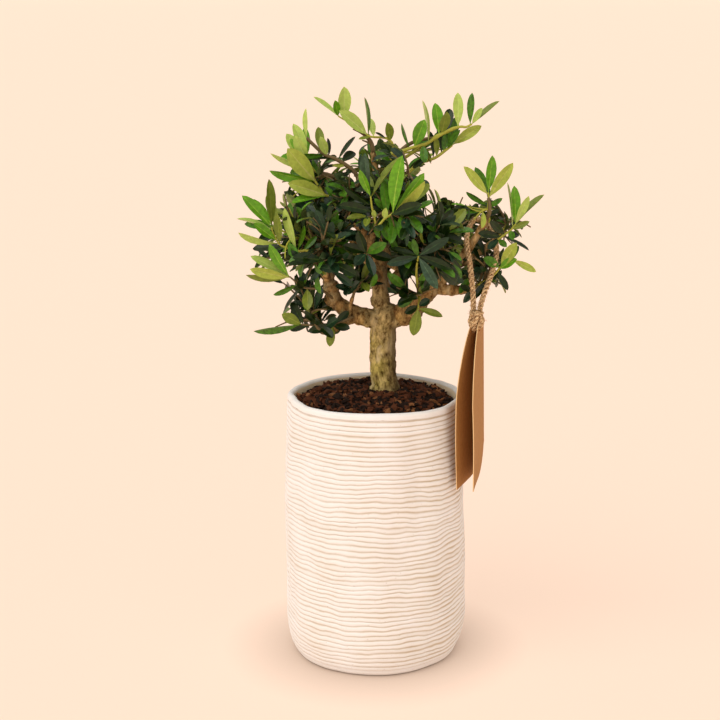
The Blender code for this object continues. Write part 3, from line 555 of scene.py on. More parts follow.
# Swellings: limb, share of its length, radius, offset of the middle.
KNOBS = (
    ("trunk", 0.97, 9.6, (2.0, -0.6, -0.6)),
    ("trunk", 0.55, 6.6, (-2.4, -1.6, 0.0)),
    ("left_bough", 0.97, 5.6, (-1.0, 0.0, 0.6)),
    ("left_bough", 0.55, 6.6, (0.0, -0.6, -0.8)),
    ("left_bough_upper", 0.2, 6.2, (-0.8, -0.8, 0.0)),
    ("left_bough_upper", 0.46, 6.0, (1.2, -1.2, 0.0)),
    ("left_bough_upper", 0.74, 5.3, (-0.9, -1.0, 0.4)),
    ("left_bough_upper", 0.98, 4.0, (0.4, -0.6, 0.2)),
    ("right_bough", 0.35, 7.4, (0.0, -0.8, -0.6)),
    ("right_bough", 0.62, 6.8, (0.6, -0.5, 0.5)),
    ("right_bough", 0.98, 6.0, (0.4, -0.4, 0.6)),
    ("right_bough_side", 0.5, 3.9, (0.0, -0.5, 0.4)),
    ("leader", 0.2, 6.2, (-1.4, -1.0, 0.0)),
    ("leader", 0.72, 5.6, (-1.9, -1.4, 0.0)),
    ("leader", 0.97, 5.2, (0.8, -1.0, 0.0)),
    ("top_bough", 0.25, 4.2, (0.7, -0.6, 0.0)),
    ("top_bough", 0.6, 3.7, (-0.8, -0.4, 0.0)),
    ("upper_left_bough", 0.5, 3.1, (0.0, -0.5, 0.3)),
    ("right_bough_upper", 0.45, 3.7, (0.4, -0.4, 0.0)),
    ("right_bough_inner", 0.5, 3.6, (-0.3, -0.4, 0.0)),
    ("front_bough", 0.35, 3.1, (-0.3, 0.0, 0.2)),
)


def place_on(path, share):
    """The place at a share of a path's length."""
    position = min(1.0, max(0.0, share)) * (len(path) - 1)
    index = min(int(position), len(path) - 2)
    return path[index][0].lerp(path[index + 1][0], position - index)


def limb_paths():
    """{name: [(place, radius), ...]} of every limb, each root inside its parent."""
    paths = {}
    for limb in LIMBS:
        tip = Vector(limb.tip)
        start = place_on(paths[limb.parent], limb.at) if limb.parent else Vector(TRUNK_FOOT)
        steps = max(6, round((tip - start).length / LIMB_STEP))
        path = []
        for step in range(steps + 1):
            share = step / steps
            place = start.lerp(tip, share) + 4 * Vector(limb.bow) * share * (1 - share)
            path.append((place, limb.thick + (limb.thin - limb.thick) * share ** 0.8))
        if limb.parent is None:
            foot, radius = path[0]
            sunk = (foot - Vector((0.0, 0.0, FOOT_SUNK)), radius * (1 + ROOT_FLARE))
            above = (foot + Vector((0.0, 0.0, ROOT_FLARE_HEIGHT)), radius * (1 + ROOT_FLARE / 3))
            path = [sunk, (foot, radius * (1 + ROOT_FLARE)), above] + path[2:]
        paths[limb.name] = path
    return paths


def pick(piece):
    """Selects one piece alone and makes it the active one."""
    bpy.ops.object.select_all(action="DESELECT")
    piece.select_set(True)
    bpy.context.view_layer.objects.active = piece


def tubes(name, routes, sides=6):
    """One mesh of closed round tubes, each a route of (place, radius) points."""
    curve = bpy.data.curves.new(name, "CURVE")
    curve.dimensions = "3D"
    curve.use_fill_caps = True
    curve.bevel_depth = MM
    curve.bevel_resolution = sides // 2 - 2
    for route in routes:
        spline = curve.splines.new("POLY")
        spline.points.add(len(route) - 1)
        for point, (place, radius) in zip(spline.points, route):
            point.co = (*(place * MM), 1.0)
            point.radius = radius
    drawn = bpy.data.objects.new(name, curve)
    bpy.context.scene.collection.objects.link(drawn)
    pick(drawn)
    bpy.ops.object.convert(target="MESH")
    piece = bpy.context.object
    bpy.ops.object.mode_set(mode="EDIT")
    bpy.ops.mesh.select_all(action="SELECT")
    bpy.ops.mesh.remove_doubles(threshold=0.002 * MM)
    bpy.ops.mesh.normals_make_consistent(inside=False)
    bpy.ops.object.mode_set(mode="OBJECT")
    bpy.ops.object.shade_smooth()
    return piece


paths = limb_paths()
bark = tubes("bark", list(paths.values()), 16)
for limb, share, radius, offset in KNOBS:
    place = place_on(paths[limb], share) + Vector(offset)
    bpy.ops.mesh.primitive_uv_sphere_add(segments=20, ring_count=12, radius=radius * MM, location=place * MM)
    bpy.context.object.scale = (1.0, 1.0, random.Random(f"{limb} {share}").uniform(0.75, 1.15))
    bark.select_set(True)
    bpy.context.view_layer.objects.active = bark
    bpy.ops.object.join()
grain = bark.modifiers.new("grain", "REMESH")
grain.mode = "VOXEL"
grain.voxel_size = BARK_GRAIN * MM
grain.use_smooth_shade = True
bpy.ops.object.modifier_apply(modifier="grain")
settle = bark.modifiers.new("settle", "SMOOTH")
settle.factor = 0.5
settle.iterations = 4
bpy.ops.object.modifier_apply(modifier="settle")

limb_of = []
along_limbs = []
for name, path in paths.items():
    for index in range(len(path) - 1):
        for share in (0.0, 0.5):
            start, end = path[index][0], path[index + 1][0]
            along_limbs.append((start.lerp(end, share), end - start))
            limb_of.append(name)
nearest_limb = KDTree(len(along_limbs))
for index, (place, way) in enumerate(along_limbs):
    nearest_limb.insert(place, index)
nearest_limb.balance()
moss_of = []
tan_of = []
painted_shade_of = []
for vertex, normal in zip(bark.data.vertices, [tuple(item.vector) for item in bark.data.vertex_normals]):
    place = vertex.co / MM
    normal = Vector(normal)
    found, index, distance = nearest_limb.find(place)
    name = limb_of[index]
    way = along_limbs[index][1].normalized()
    thick = min(1.0, distance / FULL_RELIEF)
    lengthwise = place - way * (place - found).dot(way) - way * BARK_DRAWN_OUT * found.dot(way)
    lumps = noise.noise(place * 0.21) + 0.6 * noise.noise(place * 0.5 + Vector((7.0, 0.0, 0.0)))
    ridges = 1.0 - 2.2 * abs(noise.noise(lengthwise * 0.62))
    crumbs = noise.noise(place * 1.15)
    swell = BARK_LUMP * lumps + BARK_RIDGE * ridges + 0.1 * crumbs
    vertex.co += normal * swell * (0.3 + 0.7 * thick) * MM
    low = min(1.0, max(0.0, (MOSS_TOP - place.z) / MOSS_FADE))
    shaded = 0.5 - 0.5 * normal.x
    patchy = 0.5 + 0.9 * noise.noise(place * 0.16 + Vector((0.0, 3.0, 0.0)))
    moss_of.append(min(1.0, max(0.0, low * (0.25 + 0.95 * shaded) * (0.55 + patchy) - 0.1)))
    # Painted shade: the bark is darkened on the side that faces right, away from the key light.
    painted_shade_of.append(0.8 * max(0.0, min(1.0, 0.25 + 0.9 * normal.x)) ** 1.3)
    callus = 0.0 if name in OLD_LIMBS else 1.0 if name in CALLUSED_LIMBS else 0.75
    tan_of.append(callus * (0.75 + 0.5 * noise.noise(place * 0.12)))
for name, values in (("moss", moss_of), ("away", painted_shade_of), ("tan", tan_of)):
    bark.data.attributes.new(name, "FLOAT", "POINT").data.foreach_set("value", values)
wood_tree = BVHTree.FromPolygons(
    [vertex.co / MM for vertex in bark.data.vertices],
    [list(polygon.vertices) for polygon in bark.data.polygons],
)
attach(bark, "root")
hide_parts(*[limb.name for limb in LIMBS])

# Living olive bark: dull and finely ridged, grey-olive to brown, with a film of moss low down, pale
# weathered flecks on its ridges and dark pits, and orange-tan callus on the younger boughs. Its right
# side, turned from the key light, is painted darker as shade. Its marks are drawn out along the trunk.
finish, shader = new_finish("olive bark")
place = add_node(finish, "TexCoord", out="Object")
moss = add_node(finish, "Attribute", {"attribute_name": "moss"}, out="Fac")
tan = add_node(finish, "Attribute", {"attribute_name": "tan"}, out="Fac")
away = add_node(finish, "Attribute", {"attribute_name": "away"}, out="Fac")
upright = add_node(finish, "Mapping", {"Vector": place, "Scale": (1.0, 1.0, 0.5)})
fine = add_node(finish, "TexNoise", {
    "Vector": upright, "Scale": apart(2.94), "Detail": 4.0, "Roughness": 0.7,
})
broad = add_node(finish, "TexNoise", {"Vector": upright, "Scale": apart(9.1), "Detail": 3.0})
contrast = add_node(finish, "MapRange", {"Value": fine, "From Min": 0.35, "From Max": 0.65})
barks = []
for dark, light in (("#59421a", "#e4ca8e"), ("#6b4319", "#d9a866"), ("#5c4e10", "#d6c568")):
    ends = {"Fac": contrast, "Color1": linear(dark), "Color2": linear(light)}
    barks.append(add_node(finish, "MixRGB", ends))
old_bark, young_bark, mossy_bark = barks
tone = add_node(finish, "MixRGB", {"Fac": tan, "Color1": old_bark, "Color2": young_bark})
moss_share = add_node(finish, "Math", {"operation": "MULTIPLY", 0: moss, 1: 0.85})
tone = add_node(finish, "MixRGB", {"Fac": moss_share, "Color1": tone, "Color2": mossy_bark})
flecks = add_node(finish, "MapRange", {"Value": broad, "From Min": 0.53, "From Max": 0.66, "To Max": 0.8})
pits = add_node(finish, "MapRange", {"Value": fine, "From Min": 0.4, "From Max": 0.31, "To Max": 0.55})
# Mixed in: pale weathered flecks, dark painted shade on the right side, and dark pits.
for share, colour in ((flecks, "#ecd8a6"), (away, "#42320d"), (pits, "#2f220f")):
    tone = add_node(finish, "MixRGB", {"Fac": share, "Color1": tone, "Color2": linear(colour)})
relief = add_node(finish, "Bump", {"Height": fine, "Strength": 0.55, "Distance": 0.0005})
set_node(shader, {"Base Color": tone, "Normal": relief, "Roughness": 0.82, "Specular IOR Level": 0.25})
bark.data.materials.clear()
bark.data.materials.append(finish)


# The tag: one sheet of plain kraft card, creased down its middle and folded to two panels with a
# pointed top and a rounded foot. It hangs nearly edge-on from a hole punched through both panels.
CARD = 0.6
GAP = 0.3
CARD_WIDTH = 43
CARD_PEAK = (15, 250)
CARD_SHOULDER = 243
CARD_SIDE = 196
CARD_FOOT = 134
FOOT_CORNER = (24, 26)
FOLD_PLACE = (74.8, -10)
CARD_TILT = 4
CARD_TURN = 21.4
CARD_OPEN = 12.4
HOLE = (15, 245)
HOLE_RADIUS = 2.7
CARD_ROWS = 40
CARD_COLUMNS = (
    0.0, 0.5, 1.2, 2.4, 4.5, 7.0, 9.0, 12.0, 15.0, 18.0, 22.0, 26.0, 30.0, 34.0, 37.5, 40.0, 42.0, 43.0,
)
LAST_COLUMN = len(CARD_COLUMNS) - 1
ROUND_THE_FOLD = 0.6


def card_top(x):
    """The top edge's height above a place across one panel."""
    peak, top = CARD_PEAK
    if x < peak:
        return CARD_SHOULDER + (top - CARD_SHOULDER) * math.sin(math.pi / 2 * x / peak)
    share = (x - peak) / (CARD_WIDTH - peak)
    return top - (top - CARD_SIDE) * (1 - (1 - share ** 1.45) ** (1 / 1.45))


def card_bottom(x):
    """The bottom edge's height below a place across one panel, rounded up to the fold."""
    across, up = FOOT_CORNER
    if x > across:
        return CARD_FOOT + 2.0 * (CARD_WIDTH - x) / (CARD_WIDTH - across)
    return CARD_FOOT + 2.0 + up - up * math.sqrt(1 - ((across - x) / across) ** 2)


def tag_place():
    """From the tag's own frame (X from its fold, Z up) to the world: it hangs from its hole, tilted."""
    fold = Vector((*FOLD_PLACE, 0.0))
    hole = Vector((HOLE[0], 0.0, HOLE[1]))
    turn = Matrix.Rotation(math.radians(-90 - CARD_TURN), 4, "Z")
    tilt = Matrix.Rotation(math.radians(CARD_TILT), 4, "Y")
    return Matrix.Translation(fold + turn @ hole) @ turn @ tilt @ Matrix.Translation(-hole)


bpy.ops.object.select_all(action="DESELECT")
bpy.ops.mesh.primitive_grid_add(x_subdivisions=2 * LAST_COLUMN, y_subdivisions=CARD_ROWS, size=2.0)
tag = bpy.context.object
tag.name = "kraft_tag"
tag.data.name = "kraft_tag"
for vertex in tag.data.vertices:
    column = round(vertex.co.x * LAST_COLUMN)
    side = 1 if column >= 0 else -1
    x = CARD_COLUMNS[abs(column)]
    share = (vertex.co.y + 1) / 2
    z = card_bottom(x) + (card_top(x) - card_bottom(x)) * share
    opened = math.radians(CARD_OPEN / 2 + 1.2 * (x / CARD_WIDTH) ** 2) * side
    half = (CARD + GAP) / 2
    if x < ROUND_THE_FOLD:
        turn = math.pi / 2 * (1 - x / ROUND_THE_FOLD)
        place = Vector((-half * math.sin(turn) * 0.9, side * half * math.cos(turn), z))
    else:
        bow = 0.5 * math.sin(math.pi * share) * (x / CARD_WIDTH) * side
        place = Vector((x * math.cos(opened), side * half + x * math.sin(opened) + bow, z))
    vertex.co = place * MM

# Kraft card: uncoated brown board of long wood fibres, matt, faintly streaked along its grain. The
# fibres are drawn coarser than life.
kraft, shader = new_finish("kraft card")
place = add_node(kraft, "TexCoord", out="Object")
stretched = add_node(kraft, "Mapping", {"Vector": place, "Scale": (1.0, 1.0, 0.35)})
two_toned(kraft, shader, stretched, 1.11, 0.7, 0.5, (linear("#98662e"), linear("#c69051")), (0.15, 0.2))
set_node(shader, {"Roughness": 0.8})

# The die-cut edge of the card: open fibre, lighter than the faces.
cut_edge, shader = new_finish("cut kraft edge")
set_node(shader, {"Base Color": linear("#f0cb95"), "Roughness": 0.9})
tag.data.materials.append(kraft)
tag.data.materials.append(cut_edge)
sheet = tag.modifiers.new("sheet", "SOLIDIFY")
sheet.thickness = CARD * MM
sheet.offset = 0.0
sheet.use_even_offset = True
sheet.material_offset_rim = 1
bpy.ops.object.modifier_apply(modifier="sheet")
bpy.ops.mesh.primitive_cylinder_add(vertices=28, radius=HOLE_RADIUS * MM, depth=20 * MM)
punch = bpy.context.object
punch.rotation_euler = (math.radians(90), 0.0, 0.0)
punch.location = (HOLE[0] * MM, 0.0, HOLE[1] * MM)
pick(tag)
hole = tag.modifiers.new("hole", "BOOLEAN")
hole.operation = "DIFFERENCE"
hole.solver = "EXACT"
hole.object = punch
bpy.ops.object.modifier_apply(modifier="hole")
bpy.data.objects.remove(punch)
for vertex in tag.data.vertices:
    vertex.co = tag_place() @ (vertex.co / MM) * MM
bpy.ops.object.mode_set(mode="EDIT")
bpy.ops.mesh.select_all(action="SELECT")
bpy.ops.mesh.normals_make_consistent(inside=False)
bpy.ops.object.mode_set(mode="OBJECT")
bpy.ops.object.shade_smooth_by_angle(angle=math.radians(35))
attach(tag, "root")
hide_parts("tag_right", "tag_left")


# The twine: jute of three strands laid together, looped over the bough and hitched through the tag's
# hole. Short hairs stand off it, as they do on any spun jute.
TWINE_RADIUS = 1.9
STRAND_RADIUS = 0.94
STRAND_OUT = 1.14
STRANDS = 3
LAY = 10.2
HITCH_RADIUS = 4.6
TWINE_SIDE = 2.15
TWINE_HAIRS = 800
HAIRS_BY_ROPE = (8, 1, 1, 1, 1)
TWINE_ROUTE = (
    (67, -19.5, 268), (64.8, -17, 288), (62.6, -12, 305), (67.3, -6.5, 316.6), (75.6, -3.5, 315),
    (83, -3, 302), (83.6, -4, 289), (78.6, -12, 275.5), (74.6, -17.5, 266.5),
)


def smooth_through(points, count):
    """Points spaced along a smooth curve through the given ones."""
    ends = [2 * points[0] - points[1]] + points + [2 * points[-1] - points[-2]]
    smooth = []
    for index in range(count + 1):
        position = index / count * (len(points) - 1)
        part = min(int(position), len(points) - 2)
        share = position - part
        before, start, end, after = ends[part:part + 4]
        smooth.append(0.5 * (
            2 * start + (end - before) * share
            + (2 * before - 5 * start + 4 * end - after) * share ** 2
            + (3 * start - before - 3 * end + after) * share ** 3
        ))
    return smooth


def evenly(points, step):
    """The same route with its points a step apart."""
    even = [points[0]]
    gone = 0.0
    for before, after in zip(points, points[1:]):
        length = (after - before).length
        while gone + step <= length:
            gone += step
            even.append(before.lerp(after, gone / length))
        gone -= length
    return even


def plied(points, lay, radius, out):
    """The routes of the strands that wind round one another along a route."""
    routes = [[] for strand in range(STRANDS)]
    side = (points[1] - points[0]).orthogonal().normalized()
    gone = 0.0
    for index, point in enumerate(points):
        way = (points[min(index + 1, len(points) - 1)] - points[max(index - 1, 0)]).normalized()
        side = (side - way * side.dot(way)).normalized()
        if index:
            gone += (point - points[index - 1]).length
        for strand in range(STRANDS):
            angle = math.tau * (gone / lay + strand / STRANDS)
            spoke = side * math.cos(angle) + way.cross(side) * math.sin(angle)
            routes[strand].append((point + spoke * out, radius))
    return routes


rng = random.Random("twine")
turn = math.radians(CARD_TURN)
through = tag_place() @ Vector((HOLE[0], 0.0, HOLE[1]))
knot = through + Vector((0.0, 0.0, HITCH_RADIUS))
over = knot + Vector((0.0, 0.0, HITCH_RADIUS + TWINE_RADIUS + GAP + 0.2))
across_card = Vector((math.cos(turn), -math.sin(turn), 0.0))
along_card = Vector((math.sin(turn), math.cos(turn), 0.0))
aside = across_card * TWINE_SIDE
route = [over - aside] + [Vector(point) for point in TWINE_ROUTE] + [over + aside]
loop = evenly(smooth_through(route, 200), 0.9)
ropes = [loop]
for side in (-1, 1):
    ring = []
    for step in range(33):
        angle = math.tau * step / 32
        lean = side * (1.35 + 0.3 * math.cos(angle))
        spoke = across_card * math.sin(angle) * (HITCH_RADIUS - 0.9)
        spoke.z -= math.cos(angle) * HITCH_RADIUS
        ring.append(knot + spoke + along_card * lean)
    ropes.append(ring)
bar = []
for step in range(25):
    angle = math.tau * step / 24
    spoke = across_card * math.cos(angle) * 3.3 + along_card * math.sin(angle) * 2.7
    bar.append(over + Vector((0.0, 0.0, -1.6)) + spoke)
ropes.append(bar)
# The knot's own turn, drawn down over the middle of the hitch.
front = -along_card if along_card.y > 0 else along_card
turn_down = [
    over + front * 1.4 + across_card * 1.6, knot + front * 3.9 + across_card * 0.9 + Vector((0.0, 0.0, 3.2)),
    knot + front * 4.5 - Vector((0.0, 0.0, 0.4)), through + front * 3.4 - across_card * 0.9,
    through - across_card * 1.4 + Vector((0.0, 0.0, -1.2)),
]
ropes.append(evenly(smooth_through(turn_down, 60), 0.5))
strands = []
for rope in ropes:
    strands += plied(rope, LAY, STRAND_RADIUS, STRAND_OUT)
for hair in range(TWINE_HAIRS):
    rope = ropes[rng.choices(range(len(ropes)), HAIRS_BY_ROPE)[0]]
    place = rope[rng.randrange(len(rope))]
    out = Vector([rng.gauss(0.0, 1.0) for axis in range(3)]).normalized()
    drift = Vector([rng.gauss(0.0, 0.6) for axis in range(3)])
    start = place + out * (TWINE_RADIUS - 0.3)
    length = rng.uniform(0.8, 2.6)
    middle = start + (out + drift * 0.3).normalized() * length * 0.5
    end = middle + (out * 0.4 + drift).normalized() * length * 0.5
    strands.append([(start, 0.09), (middle, 0.07), (end, 0.05)])
twine = tubes("jute_twine", strands, 6)
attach(twine, "root")
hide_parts("twine_loop", "twine_hitch")

# Spun jute: dry plant fibre, matt and fuzzy, ginger-brown with lighter and darker strands in it, drawn
# coarser than life.
jute, shader = new_finish("spun jute")
place = add_node(jute, "TexCoord", out="Object")
two_toned(jute, shader, place, 1.43, 0.75, 0.14, (linear("#865a2e"), linear("#fbdeac")), (0.6, 0.3))
set_node(shader, {"Roughness": 0.9})
twine.data.materials.clear()
twine.data.materials.append(jute)


# The foliage: young stems and side twigs grown on from the boughs' tips, with leathery leaves in crossed
# pairs, the oldest dark and blue-green, the newest long, bright and pale underneath. Each mass grows in
# an ellipsoid: centre, reach, a leaf's length, how many shoots, and places that the first of them reach.
Mass = namedtuple("Mass", "name bough centre reach leaf shoots leads")
MASSES = (
    Mass("foliage_low_left", "left_bough_lower", (-50, -10, 257), (36, 26, 28), 20, 7,
         ((-80, -12, 243), (-66, -10, 274), (-32, -14, 236))),
    Mass("foliage_low_front", "low_front_bough", (-15, -29, 273), (22, 19, 21), 19, 5,
         ((-8, -30, 262), (-24, -32, 280))),
    Mass("foliage_left", "left_bough_upper", (-61, -6, 308), (34, 28, 35), 26, 7,
         ((-79, -9, 323), (-75, -10, 289), (-60, -10, 326))),
    Mass("foliage_left_upper", "upper_left_bough", (-45, 10, 350), (28, 28, 37), 26, 6,
         ((-51, 10, 372), (-34, 2, 366), (-60, 8, 350))),
    Mass("foliage_upper_front", "upper_front_bough", (-16, -18, 340), (24, 24, 24), 19, 6,
         ((-28, -20, 352), (-6, -24, 352))),
    Mass("foliage_top_left", "top_left_bough", (-19, 9, 382), (27, 20, 20), 24, 5,
         ((-20, 9, 393), (-34, 9, 389), (4, 12, 372))),
    Mass("foliage_top_right", "top_bough", (49, 8, 376), (42, 24, 27), 24, 6,
         ((66, 8, 385), (58, 0, 377), (40, 0, 378))),
    Mass("foliage_top_front", "top_front_bough", (22, -24, 354), (28, 22, 21), 21, 5,
         ((30, -32, 360), (10, -30, 358))),
    Mass("foliage_centre_front", "front_bough", (8, -50, 332), (31, 27, 30), 27, 6,
         ((13, -58, 345), (0, -56, 346), (26, -52, 330))),
    Mass("foliage_front_left", "front_left_bough", (-36, -42, 304), (28, 26, 32), 21, 6,
         ((-42, -52, 318), (-22, -54, 298))),
    Mass("foliage_front_right", "right_bough_inner", (42, -34, 306), (29, 28, 31), 21, 6,
         ((42, -48, 320), (56, -40, 298))),
    Mass("foliage_low_centre", "low_bough", (27, -24, 268), (24, 18, 23), 20, 5,
         ((31, -22, 248), (14, -28, 274), (46, -20, 262))),
    Mass("foliage_right_upper", "right_bough_upper", (77, -12, 336), (26, 27, 29), 22, 6,
         ((77, -8, 347), (66, -22, 334))),
    Mass("foliage_right_outer", "right_outer_bough", (94, 8, 315), (22, 28, 30), 21, 5,
         ((100, 6, 325), (90, 6, 300))),
    Mass("foliage_right_low", "right_bough_side", (82, -2, 284), (31, 26, 26), 22, 6,
         ((98, -2, 287), (80, -14, 272), (76, -4, 300))),
    Mass("foliage_back_left", "back_left_bough", (-42, 48, 314), (37, 35, 38), 24, 7,
         ((-62, 52, 326), (-48, 64, 304))),
    Mass("foliage_back_right", "back_right_bough", (52, 48, 302), (37, 35, 33), 24, 7,
         ((74, 50, 312), (56, 66, 292))),
    Mass("foliage_back_top", "back_top_bough", (10, 46, 340), (33, 33, 24), 24, 6,
         ((22, 54, 350), (-8, 56, 346))),
    Mass("foliage_back_low", "back_low_bough", (2, 62, 280), (32, 27, 27), 22, 5,
         ((-10, 74, 282), (16, 76, 286))),
)

STEM_THICK = 1.7
STEM_TAPER = 0.12
STEM_STRAIGHT = 3.0
STEM_REACH = 0.8
SHOOT_THICK = 1.05
SHOOT_THIN = 0.5
SHOOT_STEPS = 7
HEADING_HOLD = 0.45
LOWEST_SHOOT = 0.25
GOLDEN_SHARE = 0.618
MORE_SHOOTS = 2.2
LEAF_SPREAD = math.radians(52)
SPREAD_JITTER = math.radians(15)
TIP_SPREAD = 0.55
TIP_SHARE = 0.9
FIRST_PAIR = 0.26
LAST_PAIR = 0.98
PAIR_GAP = 7.2
LEAF_LIFT = 0.12
LEAF_REACH = 1.18
CLEARANCE = 0.2
TARGET_TRIES = 5
TARGET_SHELL = (0.5, 0.92)
TARGET_ROOM = 2.0
# How far growth stays off the boughs' bark, and off the twine and the tag.
OFF_WOOD = {"leaf": 1.2, "shoot": 1.0, "side twig": 2.0}
OFF_TAG = {"leaf": 2.8, "shoot": 2.6, "side twig": 4.0}
LEAF_ROOM = 1.45
CROWD_CELL = 4.0
SIGHT_CELL = 3
YOUNG_WIDTH = (0.28, 0.35)
OLD_WIDTH = (0.34, 0.42)
LONGEST_OLD_LEAF = 22
SIDE_TWIG_SHARES = (0.3, 0.48, 0.66)
SIDE_TWIG_LENGTHS = (10.0, 17.0)
# The pruned outline of the older growth as it shows from the front, where each sight line meets the
# plane Y = 0: across, up. Young shoots reach out past it.
CROWN_OUTLINE = (
    (-58, 349), (-52, 359), (-44, 366), (-32, 371), (-27, 365), (-21, 359), (-17, 356), (-13, 366),
    (-9, 372), (-6, 378), (-2, 380), (2, 380), (6, 379), (10, 375), (13, 370), (19, 367), (23, 366),
    (24, 371), (31, 372), (38, 376), (44, 380), (52, 384), (60, 387), (66, 384), (62, 376), (56, 370),
    (48, 364), (42, 358), (34, 352), (29, 347), (36, 345), (44, 340), (44, 333), (49, 331), (60, 328),
    (71, 328), (75, 333), (76, 344), (82, 343), (83, 330), (88, 322), (95, 322), (100, 316), (107, 313),
    (106, 308), (101, 303), (97, 296), (93, 286), (89, 278), (95, 267), (93, 262), (82, 267), (72, 269),
    (68, 258), (58, 256), (48, 259), (43, 246), (37, 232), (27, 232), (29, 246), (20, 254), (12, 249),
    (2, 249), (-3, 259), (-17, 258), (-17, 238), (-27, 223), (-38, 232), (-48, 235), (-53, 242),
    (-66, 241), (-67, 251), (-60, 258), (-63, 267), (-73, 271), (-84, 282), (-88, 294), (-84, 301),
    (-75, 302), (-76, 312), (-72, 323), (-66, 331), (-61, 340),
)
# Openings pruned between the boughs, on the same plane: across, up, radius, and the depth in front of
# which they are open.
OPENINGS = ((-15, 259, 5, 999), (-7, 260, 4, 999), (14, 279, 3, 999), (27, 270, 4, 999), (14, 260, 3, 999),
    (50, 269, 3, 999), (37, 323, 3, 999), (-32, 349, 3, 999), (-21, 371, 5, 999), (23, 358, 3, 999),
    (55, 351, 7, 999), (65, 344, 8, 999), (50, 345, 4, 999), (18, 352, 3, 999), (7, 246, 8, -2),
    (-3, 251, 6, -4), (-19, 251, 6, -4), (-28, 261, 6, -4), (-33, 272, 6, -4), (28, 250, 6, -4),
    (38, 259, 6, -4), (44, 264, 5, -4), (15, 241, 6, -4), (0, 264, 5, -4), (4, 282, 5, -4),
    (-1, 302, 3, -20), (52, 264, 4, -4), (-21, 352, 3, 4), (-14, 347, 3, 4), (62, 302, 2, 999),
)
CROWN_MIDDLE = Vector((8.0, 8.0, 285.0))
# How much of each mass's growth is this year's.
YOUNG = {
    "foliage_left": 0.25, "foliage_left_upper": 0.3, "foliage_top_left": 0.6, "foliage_top_right": 1.0,
    "foliage_right_upper": 0.15, "foliage_right_outer": 0.3, "foliage_right_low": 0.12,
    "foliage_low_left": 0.1, "foliage_back_top": 0.45, "foliage_back_left": 0.35,
    "foliage_back_right": 0.4, "foliage_back_low": 0.15,
}


def leaf_model(name, blunt):
    """One leaf, 1 long along X and 1 wide: two blades and a midrib on each side, meeting at the rim."""
    bpy.ops.object.select_all(action="DESELECT")
    bpy.ops.mesh.primitive_grid_add(x_subdivisions=8, y_subdivisions=3, size=1.0)
    leaf = bpy.context.object
    leaf.name = name
    stations = (0.0, 0.09, 0.2, 0.34, 0.5, 0.66, 0.8, 0.92, 1.0)
    for vertex in leaf.data.vertices:
        share = stations[round((vertex.co.x + 0.5) * 8)]
        side = round((vertex.co.y + 0.5) * 3) - 1.5
        power, lean = (0.56, 1.25) if blunt else (0.63, 1.2)
        inside = max(0.0, (share - 0.06) / 0.94)
        width = math.sin(math.pi * inside ** lean) ** power if inside < 1 else 0
        width = max(0.07 if share < 0.5 else 0.03, width)
        rib = 0.05 * (1.15 - share)
        ends = share in (0.0, 1.0)
        vertex.co = (
            share,
            math.copysign(width / 2 if abs(side) > 1 else min(rib, width / 4), side),
            0.0 if abs(side) > 1 or ends else 0.012,
        )
    bpy.ops.object.mode_set(mode="EDIT")
    bpy.ops.mesh.select_mode(type="FACE")
    bpy.ops.mesh.select_all(action="SELECT")
    bpy.ops.mesh.duplicate_move()
    bpy.ops.mesh.flip_normals()
    bpy.ops.transform.resize(value=(1.0, 1.0, -1.0), center_override=(0.0, 0.0, 0.0))
    bpy.ops.mesh.select_all(action="SELECT")
    bpy.ops.mesh.remove_doubles(threshold=1e-5)
    bpy.ops.mesh.normals_make_consistent(inside=False)
    bpy.ops.object.mode_set(mode="OBJECT")
    for polygon in leaf.data.polygons:
        on_rib = abs(polygon.center.y) < 0.004
        polygon.material_index = 2 if on_rib else 0 if polygon.normal.z > 0 else 1
    points = np.array([vertex.co for vertex in leaf.data.vertices])
    faces = np.array([list(polygon.vertices) for polygon in leaf.data.polygons])
    sides = np.array([polygon.material_index for polygon in leaf.data.polygons])
    bpy.data.objects.remove(leaf)
    return points, faces, sides


OLD_LEAF = leaf_model("old_leaf", True)
YOUNG_LEAF = leaf_model("young_leaf", False)


def shaped(points, length, width, fold, bend, sway, twist):
    """A leaf's points in millimetres: folded along its midrib, bent down, swayed aside and twisted."""
    x = points[:, 0]
    y = points[:, 1] * width
    z = points[:, 2] * length + np.abs(y) * math.sin(fold)
    y = y * math.cos(fold) + sway * length * x ** 2
    angle = twist * x
    y, z = y * np.cos(angle) - z * np.sin(angle), y * np.sin(angle) + z * np.cos(angle)
    bent = bend * x
    radius = length / bend if abs(bend) > 1e-3 else 1e6
    down = z * np.cos(bent) - radius * (1 - np.cos(bent))
    return np.stack([radius * np.sin(bent) + z * np.sin(bent), y, down], 1)


shown = {}
leaves_of = {}
stalks = {"woody": [], "green": []}
crowded = {}


def cell_of(place):
    """The cell of space that a place lies in."""
    return tuple(int(math.floor(part / CROWD_CELL)) for part in place)


def crosses(places, own):
    """Whether any of these places is too close to a leaf. One of its own shoot may be twice as near."""
    for place in places:
        cell = cell_of(place)
        for x in (-1, 0, 1):
            for y in (-1, 0, 1):
                for z in (-1, 0, 1):
                    for other, shoot in crowded.get((cell[0] + x, cell[1] + y, cell[2] + z), ()):
                        limit = LEAF_ROOM if shoot != own else LEAF_ROOM * 0.5
                        if (other - place).length < limit:
                            return True
    return False


def keep_leaf(points, model, tone, shoot):
    """Keeps a leaf under its colour, and the space that it takes up."""
    leaves_of.setdefault(tone, []).append((points, model))
    for place in check_places(points, model):
        crowded.setdefault(cell_of(place), []).append((place, shoot))


def check_places(points, model):
    """A few places along a leaf's midrib and rim."""
    share = model[0][:, 0]
    picked = [index for index in range(len(points)) if 0.3 < share[index] < 0.99]
    return [Vector(points[index]) for index in picked[::2]]


